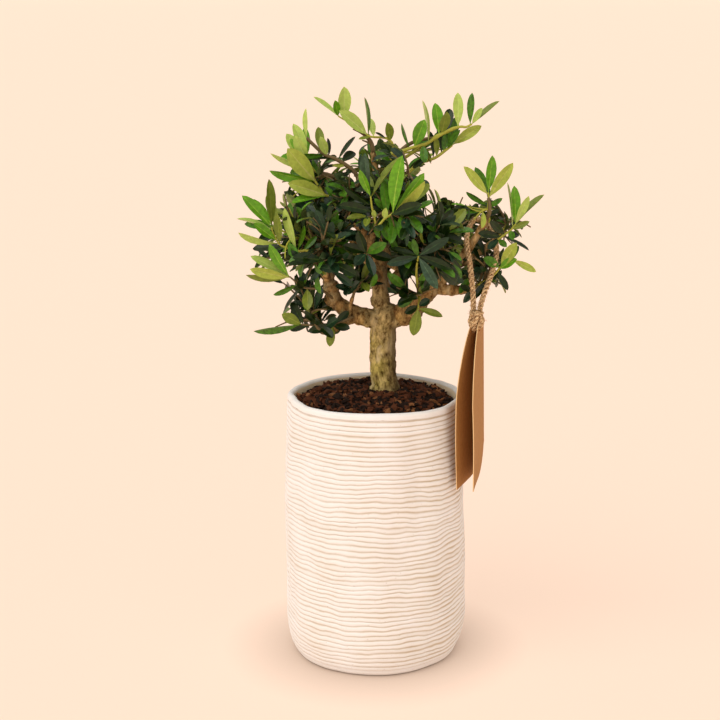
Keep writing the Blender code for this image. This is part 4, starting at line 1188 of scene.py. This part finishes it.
def set_leaf(base, along, normal, length, width, model, tone, shoot, rng, mass=None, bend=None):
    """Shapes a leaf and puts it at its place, unless it would leave its mass or run through something."""
    across = normal.cross(along).normalized()
    turned_in = np.array(Matrix((along, across, along.cross(across))).transposed())
    bend = rng.uniform(-0.1, 0.55) if bend is None else bend
    fold = rng.uniform(0.26, 0.52)
    local = shaped(model[0], length, width, fold, bend, rng.uniform(-0.06, 0.06), rng.uniform(-0.35, 0.35))
    points = local @ turned_in.T + np.array(base)
    places = check_places(points, model)
    if mass is not None:
        if not all(in_space(mass, place) for place in places):
            return False
        if any(pruned(place) for place in places) or hides(places):
            return False
        if crosses(places, shoot):
            return False
        if any(wood_tree.find_nearest(place, OFF_WOOD["leaf"])[0] for place in places):
            return False
        if any(hung_tree.find_nearest(place, OFF_TAG["leaf"])[0] for place in places):
            return False
    else:
        keep_in_view(points)
    keep_leaf(points, model, tone, shoot)
    return True


def seen_at(place):
    """Where the sight line from the front through a place meets the plane Y = 0: across, up."""
    share = EYE.y / (EYE.y - place[1])
    return EYE.x + (place[0] - EYE.x) * share, EYE.z + (place[2] - EYE.z) * share


def pruned(place):
    """Whether a place lies outside the older growth's outline, or in one of its openings."""
    x, z = seen_at(place)
    for across, up, radius, front in OPENINGS:
        if place[1] < front and math.hypot(x - across, z - up) < radius:
            return True
    inside = False
    for (x1, z1), (x2, z2) in zip(CROWN_OUTLINE, CROWN_OUTLINE[1:] + CROWN_OUTLINE[:1]):
        if (z1 > z) != (z2 > z) and x < x1 + (x2 - x1) * (z - z1) / (z2 - z1):
            inside = not inside
    return not inside


def hides(places):
    """Whether a leaf would stand in front of a shoot that shows."""
    for place in places:
        x, z = seen_at(place)
        cell = (int(x // SIGHT_CELL), int(z // SIGHT_CELL))
        if any(place[1] < depth + 1.0 for depth in shown.get(cell, ())):
            return True
    return False


def keep_in_view(points):
    """Keeps the space before a shoot's leaf open."""
    for point in points:
        x, z = seen_at(point)
        shown.setdefault((int(x // SIGHT_CELL), int(z // SIGHT_CELL)), []).append(point[1])


def mass_size(mass):
    return math.prod(mass.reach) ** (1 / 3)


def room_left(mass, place):
    """How far inside its mass's own space a place is: the least distance to a neighbour's side."""
    own = (place - Vector(mass.centre)).length_squared - mass_size(mass) ** 2
    room = 1e9
    for centre, size, apart in neighbours[mass.name]:
        theirs = (place - centre).length_squared - size * size
        room = min(room, (theirs - own) / (2 * apart))
    return room


def in_space(mass, place):
    """Whether a place lies in its mass's ellipsoid and on its own side of every neighbour."""
    offset = place - Vector(mass.centre)
    share = sum((part / reach) ** 2 for part, reach in zip(offset, mass.reach))
    return share < LEAF_REACH ** 2 and room_left(mass, place) > CLEARANCE


def curved(start, heading, target, steps):
    """Points from a place to a target, leaving along a heading."""
    middle = start + heading * (target - start).length * HEADING_HOLD
    points = []
    for step in range(steps + 1):
        share = step / steps
        points.append(start.lerp(middle, share).lerp(middle.lerp(target, share), share))
    return points


def stem_path(mass):
    """The stem, on from its bough's tip into the mass."""
    tip = paths[mass.bough][-1][0]
    heading = (tip - paths[mass.bough][-3][0]).normalized()
    first = tip + heading * STEM_STRAIGHT
    goal = first.lerp(Vector(mass.centre), STEM_REACH)
    points = [tip - heading * 1.5] + curved(first, heading, goal, SHOOT_STEPS)
    thick = min(STEM_THICK, paths[mass.bough][-1][1] - 0.1)
    return [(point, thick - STEM_TAPER * index * 0.6) for index, point in enumerate(points)]


def targets_of(mass, rng):
    """The leads, then places spread through the mass's ellipsoid, each far from those before it."""
    targets = [Vector(lead) for lead in mass.leads]
    spread = []
    turn = math.pi * (3 - math.sqrt(5))
    count = round(TARGET_TRIES * mass.shoots * MORE_SHOOTS)
    for index in range(count):
        height = 1 - 2 * (index + 0.5) / count
        ring = math.sqrt(1 - height * height)
        angle = turn * index + rng.uniform(-0.3, 0.3)
        way = Vector((ring * math.cos(angle), ring * math.sin(angle), height))
        way = Vector(part * reach for part, reach in zip(way, mass.reach))
        place = Vector(mass.centre) + way * rng.uniform(*TARGET_SHELL)
        if room_left(mass, place) > TARGET_ROOM:
            spread.append(place)
    while spread:
        best = max(spread, key=lambda place: min((place - other).length for other in targets))
        targets.append(best)
        spread.remove(best)
    return targets


def tone_of(young, share, rng):
    """A leaf's colour: bright or pale towards a young shoot's tip, dark on the older growth."""
    if young and share > 0.62:
        return rng.choices(("young", "pale", "yellow", "green"), (5, 3, 1.4, 1))[0]
    if young:
        return rng.choices(("green", "olive", "young", "yellow", "dark"), (4, 2.5, 2, 0.8, 0.3))[0]
    if share > 0.85:
        return rng.choices(("green", "olive", "bluish", "dark"), (2.2, 0.6, 2, 3))[0]
    return rng.choices(("dark", "bluish", "green", "olive", "grey"), (5, 3, 1.7, 0.35, 0.3))[0]


def leafy(mass, path, young, shoot, rng, first=FIRST_PAIR):
    """A twig's leaves, in crossed pairs. One that has no room is turned, or left out."""
    length = sum((b[0] - a[0]).length for a, b in zip(path, path[1:]))
    pairs = max(1, round(length * (1 - first) / (PAIR_GAP * (1.15 if young else 0.95))))
    roll = rng.uniform(0.0, math.pi)
    grown = 0
    for pair in range(pairs + 1):
        share = first + (LAST_PAIR - first) * pair / pairs
        axis = (place_on(path, share + 0.03) - place_on(path, share - 0.03)).normalized()
        for half in (0.0, math.pi):
            for attempt in range(4):
                angle = roll + half + rng.uniform(-0.3, 0.3) * (1 + attempt)
                outward = Matrix.Rotation(angle, 3, axis) @ axis.orthogonal().normalized()
                spread = LEAF_SPREAD * (TIP_SPREAD if share > TIP_SHARE else 1.0) * (0.8 if young else 1.05)
                spread += rng.uniform(-1, 1) * SPREAD_JITTER
                along = axis * math.cos(spread) + outward * math.sin(spread) + Vector((0.0, 0.0, LEAF_LIFT))
                along.normalize()
                drift = Vector([rng.gauss(0.0, 0.22) for part in range(3)])
                outside = (place_on(path, share) - CROWN_MIDDLE).normalized()
                normal = axis * 0.4 + outside * 0.65 + Vector((0.0, 0.0, 0.5)) + drift
                if young:
                    size = mass.leaf * rng.uniform(0.8, 1.08)
                else:
                    size = min(mass.leaf, LONGEST_OLD_LEAF) * rng.uniform(0.82, 1.05)
                size *= (1 - 0.12 * attempt) * (0.78 if share < 0.4 else 1.0)
                model = YOUNG_LEAF if young else OLD_LEAF
                width = size * rng.uniform(*(YOUNG_WIDTH if young else OLD_WIDTH))
                base = place_on(path, min(1.0, share)) + outward * 0.2
                tone = tone_of(young, share, rng)
                if set_leaf(base, along, normal, size, width, model, tone, shoot, rng, mass):
                    grown += 1
                    break
        roll += math.pi / 2
    return grown


neighbours = {}
for mass in MASSES:
    neighbours[mass.name] = [
        (Vector(other.centre), mass_size(other), (Vector(other.centre) - Vector(mass.centre)).length)
        for other in MASSES
        if other.name != mass.name
    ]
hung_points = [vertex.co / MM for vertex in twine.data.vertices]
hung_faces = [list(polygon.vertices) for polygon in twine.data.polygons]
base = len(hung_points)
hung_points += [vertex.co / MM for vertex in tag.data.vertices]
hung_faces += [[base + index for index in polygon.vertices] for polygon in tag.data.polygons]
hung_tree = BVHTree.FromPolygons(hung_points, hung_faces)

# The young shoots that stand out in front, each drawn through its own places: the stem's points, then
# its leaves as share of the stem, tip, width and colour.
Shoot = namedtuple("Shoot", "name limb at points leaves")
SHOOTS = (
    Shoot("top_left", "top_bough", 1.0, (
        (12, 8, 367), (7, 8, 372), (-4, 8, 373), (-9, 8, 377), (-19, 8, 383), (-26, 8, 387),
    ), (
        (0.97, (-43, 11, 400), 3.8, "pale"), (0.87, (-23, 5, 407), 9.4, "pale"),
        (1.0, (-28, 0, 398), 5.0, "young"), (0.45, (-25, 1, 392), 9.6, "pale"),
        (0.44, (-6, 6, 400), 3.3, "green"), (0.35, (-3, 14, 385), 4.9, "pale"),
        (0.09, (8, 4, 383), 6.8, "olive"), (0.2, (0, 1, 376), 2.8, "dark"),
        (0.39, (-12, 3, 372), 2.5, "olive"),
    )),
    Shoot("left_upper_pale", "upper_left_bough", 1.0, (
        (-34, 6, 332), (-39, 6, 338), (-43, 6, 344), (-45, 6, 350), (-47, 6, 355), (-48, 6, 364),
    ), (
        (0.9, (-56, 10, 382), 8.0, "pale"), (0.81, (-55, 0, 374), 8.2, "pale"),
        (0.32, (-61, -3, 365), 12.4, "yellow"), (0.87, (-59, 16, 371), 4.2, "young"),
        (0.6, (-73, 14, 361), 2.8, "pale"), (0.35, (-74, 8, 348), 6.0, "young"),
        (0.0, (-60, -3, 343), 10.4, "yellow"), (0.0, (-58, -6, 331), 4.9, "young"),
    )),
    Shoot("left_upper_twig", "upper_left_bough", 0.45, (
        (-12, 9, 342), (-17, 9, 350), (-22, 9, 354), (-29, 9, 358), (-35, 9, 360), (-43, 9, 367),
        (-48, 9, 372),
    ), (
        (1.0, (-49, 11, 392), 4.2, "pale"), (0.71, (-41, 13, 379), 6.3, "olive"),
        (0.63, (-39, 3, 373), 6.3, "pale"), (0.61, (-33, 17, 371), 3.1, "dark"),
        (0.67, (-51, 1, 360), 2.8, "green"), (0.49, (-51, 4, 358), 3.1, "dark"),
        (0.44, (-15, 12, 373), 3.8, "dark"), (0.38, (-15, 17, 362), 7.0, "dark"),
        (0.17, (-20, 3, 348), 4.2, "dark"), (0.27, (-30, 6, 354), 2.6, "yellow"),
    )),
    Shoot("left", "left_bough_upper", 1.0, (
        (-46, -10, 296), (-53, -10, 296), (-61, -10, 298), (-67, -10, 301), (-71, -10, 309),
        (-72, -10, 313),
    ), (
        (0.95, (-91, -13, 335), 7.2, "young"), (0.99, (-74, -6, 345), 6.2, "olive"),
        (0.87, (-95, -5, 320), 4.1, "pale"), (0.67, (-84, -18, 316), 6.8, "young"),
        (0.6, (-95, -15, 307), 3.0, "pale"), (0.58, (-67, -16, 323), 5.7, "olive"),
        (0.25, (-62, -16, 326), 5.9, "pale"), (0.23, (-50, -12, 314), 3.1, "young"),
        (0.49, (-86, -2, 298), 6.2, "dark"), (0.13, (-41, -7, 306), 4.1, "green"),
    )),
    Shoot("left_low", "left_bough", 0.97, (
        (-37, -10, 268), (-49, -10, 270), (-54, -10, 273), (-60, -10, 278),
    ), (
        (1.0, (-75, -16, 300), 6.4, "young"), (0.97, (-87, -4, 291), 5.9, "pale"),
        (0.96, (-87, -13, 283), 5.9, "yellow"), (0.98, (-90, -2, 277), 3.4, "olive"),
        (0.67, (-71, -12, 265), 3.0, "green"), (0.44, (-65, -8, 253), 3.1, "dark"),
        (0.29, (-47, -17, 256), 7.2, "olive"), (0.37, (-54, -19, 276), 5.5, "dark"),
    )),
    Shoot("low_left", "left_bough_lower", 0.3, (
        (-17, -10, 249), (-30, -10, 243), (-40, -10, 243), (-52, -10, 244),
    ), (
        (1.0, (-65, -15, 252), 7.2, "olive"), (1.0, (-85, -7, 238), 3.4, "green"),
        (0.96, (-59, -6, 259), 6.2, "dark"), (0.58, (-50, -18, 255), 4.8, "dark"),
        (0.33, (-47, -14, 240), 6.2, "dark"), (0.33, (-18, -16, 242), 5.7, "dark"),
        (0.33, (-33, -13, 229), 6.2, "olive"), (0.31, (-19, -8, 253), 5.5, "dark"),
        (0.75, (-42, -20, 251), 7.4, "dark"), (0.62, (-30, -18, 236), 6.6, "dark"),
        (0.5, (-26, -20, 250), 6.8, "bluish"), (0.85, (-60, -2, 238), 5.0, "dark"),
    )),
    Shoot("centre", "front_bough", 1.0, (
        (0, -50, 318), (-1, -50, 323), (-3, -50, 332), (-4, -50, 340),
    ), (
        (0.94, (-10, -54, 368), 4.6, "grey"), (0.97, (-11, -58, 358), 4.5, "young"),
        (0.95, (15, -46, 367), 4.3, "olive"), (0.42, (-2, -58, 331), 3.6, "pale"),
        (0.72, (-22, -48, 346), 4.0, "dark"), (0.56, (-24, -58, 336), 6.9, "dark"),
    )),
    Shoot("centre_front", "front_bough", 0.98, (
        (0, -54, 319), (5, -54, 325), (8, -54, 327), (11, -54, 329),
    ), (
        (0.98, (14, -58, 367), 9.6, "young"), (1.0, (31, -51, 355), 5.5, "young"),
        (0.92, (32, -63, 350), 5.5, "yellow"), (0.52, (4, -48, 350), 6.2, "green"),
        (0.33, (6, -62, 333), 4.1, "pale"), (0.79, (29, -66, 337), 7.9, "dark"),
    )),
    Shoot("right_upper", "right_bough_upper", 0.99, (
        (78, -12, 317), (77, -12, 323), (77, -12, 329), (77, -12, 337),
    ), (
        (0.93, (59, -17, 354), 7.2, "yellow"), (1.0, (69, -7, 354), 5.6, "green"),
        (1.0, (79, -11, 362), 7.4, "young"), (0.84, (92, -17, 358), 7.8, "yellow"),
        (0.61, (62, -9, 337), 3.4, "green"), (0.54, (86, -16, 334), 4.1, "green"),
        (0.25, (85, -9, 325), 3.0, "dark"),
    )),
    Shoot("right_outer", "right_outer_bough", 1.0, (
        (83, -4, 302), (90, -4, 307), (94, -4, 310), (97, -4, 314),
    ), (
        (0.75, (93, 2, 342), 2.3, "pale"), (0.98, (96, -2, 340), 7.4, "young"),
        (0.94, (104, -9, 334), 5.5, "pale"), (0.98, (115, -2, 335), 4.4, "olive"),
        (0.67, (106, -8, 316), 4.5, "olive"), (0.6, (95, -10, 304), 4.8, "green"),
        (0.23, (107, -2, 295), 2.6, "dark"), (0.09, (90, -11, 299), 4.4, "green"),
        (0.2, (71, -15, 309), 5.4, "dark"), (0.3, (78, -16, 318), 5.0, "dark"),
        (0.12, (77, -15, 298), 4.6, "bluish"),
    )),
    Shoot("top_right", "top_bough", 1.0, (
        (7, 5, 360), (17, 5, 363), (26, 5, 366), (36, 5, 369), (42, 5, 374), (48, 5, 376), (57, 5, 380),
    ), (
        (0.34, (33, 0, 385), 9.7, "young"), (0.28, (18, 9, 382), 2.2, "green"),
        (0.51, (33, 8, 398), 2.8, "pale"), (0.71, (42, 8, 396), 7.9, "young"),
        (0.76, (48, -1, 391), 7.6, "olive"), (0.85, (51, 14, 392), 6.9, "dark"),
        (0.99, (57, 7, 403), 7.5, "pale"), (0.44, (33, 0, 356), 6.0, "green"),
    )),
    Shoot("top_right_tip", "top_bough", 1.0, (
        (47, 4, 376), (57, 4, 380), (62, 4, 380), (66, 4, 382),
    ), (
        (0.9, (66, 7, 403), 4.7, "green"), (1.0, (85, 6, 397), 4.8, "olive"),
        (0.99, (73, -1, 393), 4.6, "pale"),
    )),
    Shoot("top_right_low", "top_bough", 0.62, (
        (16, 10, 338), (22, 10, 347), (30, 10, 354), (41, 10, 358), (48, 10, 363), (53, 10, 367),
    ), (
        (1.0, (72, 6, 381), 7.5, "yellow"), (0.76, (50, 13, 377), 5.6, "green"),
        (0.63, (42, 6, 373), 4.2, "olive"), (0.58, (38, 16, 376), 4.2, "dark"),
        (0.92, (55, 13, 386), 7.4, "green"), (0.72, (45, 15, 384), 5.6, "dark"),
        (0.84, (57, 2, 378), 4.6, "green"), (0.27, (34, 5, 359), 3.5, "dark"),
    )),
    Shoot("left_upper_back", "upper_left_bough", 0.9, (
        (-36, 14, 342), (-44, 16, 350), (-50, 17, 356),
    ), (
        (1.0, (-62, 19, 374), 7.5, "pale"), (0.95, (-48, 22, 378), 7.0, "young"),
        (0.85, (-66, 12, 358), 8.0, "young"), (0.7, (-54, 9, 362), 8.5, "olive"),
        (0.5, (-60, 20, 346), 7.0, "green"),
    )),
    Shoot("left_back", "left_bough_upper", 0.95, (
        (-52, 6, 300), (-64, 10, 306), (-72, 12, 310),
    ), (
        (1.0, (-88, 14, 328), 7.5, "young"), (0.95, (-92, 12, 312), 7.0, "green"),
        (0.8, (-76, 16, 332), 7.4, "olive"), (0.7, (-82, 4, 300), 7.0, "dark"),
    )),
    Shoot("leader_front", "front_bough", 0.55, (
        (-5, -36, 300), (-7, -44, 300),
    ), (
        (1.0, (-12, -52, 316), 7.0, "dark"), (0.95, (6, -52, 309), 7.2, "green"),
        (0.9, (-15, -50, 294), 6.8, "bluish"), (0.8, (-2, -50, 286), 6.6, "bluish"),
        (0.6, (-22, -46, 306), 6.8, "dark"), (0.5, (10, -44, 296), 7.0, "dark"),
    )),
    Shoot("low_centre_hanging", "low_bough", 1.0, (
        (30, -18, 262), (29, -21, 258),
    ), (
        (0.95, (27, -24, 239), 8.2, "olive"), (1.0, (46, -20, 251), 5.8, "olive"),
        (0.6, (20, -24, 255), 5.6, "dark"), (0.7, (37, -22, 264), 5.4, "bluish"),
    )),
    Shoot("centre_node", "low_bough", 0.9, (
        (28, -30, 278), (27, -44, 290), (28, -52, 300),
    ), (
        (1.0, (47, -58, 314), 6.4, "bluish"), (1.0, (50, -52, 292), 6.2, "dark"),
        (0.97, (41, -60, 280), 7.0, "grey"), (0.97, (7, -52, 295), 6.2, "bluish"),
        (1.0, (9, -56, 305), 5.0, "dark"), (0.9, (24, -50, 311), 4.2, "green"),
    )),
    Shoot("right_low_bright", "right_bough_side", 1.0, (
        (78, -6, 275), (84, -5, 280), (87, -6, 284), (95, -5, 289),
    ), (
        (0.66, (97, -12, 302), 8.2, "yellow"), (0.55, (97, -12, 291), 6.8, "young"),
        (1.0, (112, -4, 280), 5.2, "yellow"), (0.62, (75, -9, 291), 7.0, "green"),
        (0.4, (92, -8, 268), 4.8, "dark"), (0.8, (100, 4, 297), 6.0, "green"),
        (0.15, (68, -14, 262), 5.4, "dark"),
    )),
)
# The stalks whose radius at the root isn't 1.1 mm, and those that have turned woody.
STALK_THICK = {"left_upper_twig": 1.7, "top_right": 1.4, "top_right_tip": 1.3, "top_right_low": 1.4}
WOODY_STALKS = ("left_upper_twig", "left_low", "low_left", "leader_front")
STALK_TAPER = 0.5
STALK_STEPS = 18
for point in loop:
    if point.z < 307 and point.x < 75 or point.z < 295:
        keep_in_view([point + Vector((side, -TWINE_RADIUS, 0.0)) for side in (-1.5, 0.0, 1.5)])
for entry in SHOOTS:
    rng = random.Random(entry.name)
    start = place_on(paths[entry.limb], entry.at)
    own = [Vector(point) for point in entry.points]
    thick = STALK_THICK.get(entry.name, 1.1)
    stalk = []
    for index, point in enumerate(smooth_through([start] + own, STALK_STEPS)):
        stalk.append((point, thick - STALK_TAPER * index / STALK_STEPS))
    stalks["woody" if entry.name in WOODY_STALKS else "green"].append(stalk)
    stem = [(point, 1.0) for point in smooth_through(own, STALK_STEPS)]
    for share, tip, width, tone in entry.leaves:
        base = place_on(stem, share)
        along = Vector(tip) - base
        length = along.length
        along.normalize()
        model = OLD_LEAF if tone in ("dark", "bluish", "grey") else YOUNG_LEAF
        full = max(1.1 * width, 0.3 * length)
        turn = math.acos(min(1.0, 1.1 * width / full)) * rng.choice((-1, 1)) + rng.uniform(-0.12, 0.12)
        facing = Vector((rng.uniform(-0.15, 0.15), -0.93, 0.36))
        facing = (facing - along * facing.dot(along)).normalized()
        normal = Matrix.Rotation(turn, 3, along) @ facing
        bend = rng.uniform(-0.1, 0.3)
        set_leaf(base, along, normal, length * 1.01, full, model, tone, entry.name, rng, None, bend * 0.6)

for mass in MASSES:
    rng = random.Random(mass.name)
    stem = stem_path(mass)
    stalks["woody"].append(stem)
    heading = (place_on(stem, 1.0) - place_on(stem, 0.6)).normalized()
    grown = 0
    for target in targets_of(mass, rng):
        if grown == round(mass.shoots * MORE_SHOOTS):
            break
        start = place_on(stem, LOWEST_SHOOT + (1 - LOWEST_SHOOT) * ((grown * GOLDEN_SHARE) % 1.0))
        points = curved(start, heading, target, SHOOT_STEPS)
        if any(wood_tree.find_nearest(point, OFF_WOOD["shoot"])[0] for point in points[3:]):
            continue
        if any(hung_tree.find_nearest(point, OFF_TAG["shoot"])[0] for point in points):
            continue
        if pruned(points[-2]) or pruned(points[-4]) or hides(points[2:]):
            continue
        young = rng.random() < YOUNG.get(mass.name, 0.02)
        thick = SHOOT_THICK * (0.9 if young else 1.0)
        thinner = (SHOOT_THIN - thick) / SHOOT_STEPS
        path = [(point, thick + thinner * step) for step, point in enumerate(points)]
        shoot = f"{mass.name} {grown}"
        if leafy(mass, path, young, shoot, rng) < 2:
            continue
        stalks["green" if young else "woody"].append(path)
        grown += 1
        for share in SIDE_TWIG_SHARES:
            length = rng.uniform(*SIDE_TWIG_LENGTHS)
            origin = place_on(path, share)
            axis = (place_on(path, share + 0.05) - origin).normalized()
            outward = Matrix.Rotation(rng.uniform(0.0, math.tau), 3, axis) @ axis.orthogonal().normalized()
            goal = origin + (axis * 0.6 + outward * 0.8 + Vector((0.0, 0.0, 0.2))).normalized() * length
            if pruned(goal) or not in_space(mass, goal):
                continue
            if wood_tree.find_nearest(goal, OFF_WOOD["side twig"])[0]:
                continue
            if hung_tree.find_nearest(goal, OFF_TAG["side twig"])[0]:
                continue
            twig_points = curved(origin, (axis + outward * 0.6).normalized(), goal, 3)
            if hides(twig_points):
                continue
            twig = [(point, 0.62 - 0.08 * step) for step, point in enumerate(twig_points)]
            if leafy(mass, twig, young and rng.random() < 0.6, shoot + f" {share}", rng, 0.4):
                stalks["green" if young else "woody"].append(twig)

# Living olive wood of this and last year: smooth, thin bark, grey-brown once it is woody and
# yellow-green while it is new.
STALK_COLOURS = {"woody": "#6f5c36", "green": "#adad3c"}
for name, routes in stalks.items():
    twigs = tubes(f"twigs_{name}", routes, 6)
    finish, shader = new_finish(f"olive twig, {name}")
    set_node(shader, {"Base Color": linear(STALK_COLOURS[name]), "Roughness": 0.6})
    twigs.data.materials.clear()
    twigs.data.materials.append(finish)
    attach(twigs, "root")
    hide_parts(*[mass.name for mass in MASSES])

# Olive leaves: leathery, waxy above with a dull sheen, matt and felted pale beneath, with a raised
# pale midrib. Old ones are blue-green, new ones bright or yellow-green. Their mottling is drawn coarser
# than life. Each kind's colours above, beneath and on the rib, then how rough its top is.
LEAF_COLOURS = {
    "dark": ("#182d09", "#46572e", "#37491d", 0.3),
    "bluish": ("#1c3822", "#4f6746", "#395636", 0.3),
    "green": ("#487a19", "#74873d", "#5f7a2a", 0.32),
    "olive": ("#78892c", "#949f52", "#8f9c42", 0.38),
    "young": ("#65a01e", "#a2c054", "#93ba42", 0.3),
    "pale": ("#b2cc62", "#c2d084", "#c4d47c", 0.38),
    "yellow": ("#a9b94a", "#b9bd6c", "#bcc268", 0.38),
    "grey": ("#355039", "#667c5e", "#4e684c", 0.34),
}
# How strongly the paler kinds are mottled. The others take 0.3.
LEAF_MOTTLE = {"olive": 0.15, "young": 0.18, "pale": 0.1, "yellow": 0.12}
# How many leaves one piece holds at most.
MOST_LEAVES = 1900
for tone, grown in leaves_of.items():
    finishes = []
    for side, colour in zip(("top", "underside", "midrib"), LEAF_COLOURS[tone]):
        finish, shader = new_finish(f"olive leaf, {tone}, {side}")
        mottling = LEAF_MOTTLE.get(tone, 0.3)
        tones = [[part * (1 + way * mottling) for part in linear(colour)[:3]] + [1.0] for way in (-1, 1)]
        place = add_node(finish, "TexCoord", out="Object")
        two_toned(finish, shader, place, 2.63, 0.6, 0.14, tones, (0.35, 0.4))
        above = side == "top"
        set_node(shader, {
            "Roughness": LEAF_COLOURS[tone][3] + (0.0 if above else 0.15), "IOR": 1.45,
            "Specular IOR Level": 0.38 if above else 0.25,
        })
        finishes.append(finish)
    parts = [grown[start:start + MOST_LEAVES] for start in range(0, len(grown), MOST_LEAVES)]
    for number, part in enumerate(parts):
        base = 0
        points = []
        faces = []
        sides = []
        for leaf_points, model in part:
            points.append(leaf_points * MM)
            faces.append(model[1] + base)
            sides.append(model[2])
            base += len(leaf_points)
        mesh = bpy.data.meshes.new(f"leaves_{tone}_{number}")
        mesh.from_pydata(np.concatenate(points).tolist(), [], np.concatenate(faces).tolist())
        for finish in finishes:
            mesh.materials.append(finish)
        mesh.polygons.foreach_set("material_index", np.concatenate(sides))
        foliage = bpy.data.objects.new(f"leaves_{tone}_{number}", mesh)
        bpy.context.scene.collection.objects.link(foliage)
        pick(foliage)
        bpy.ops.object.shade_smooth_by_angle(angle=math.radians(13))
        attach(foliage, "root")
        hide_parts(*[mass.name for mass in MASSES])
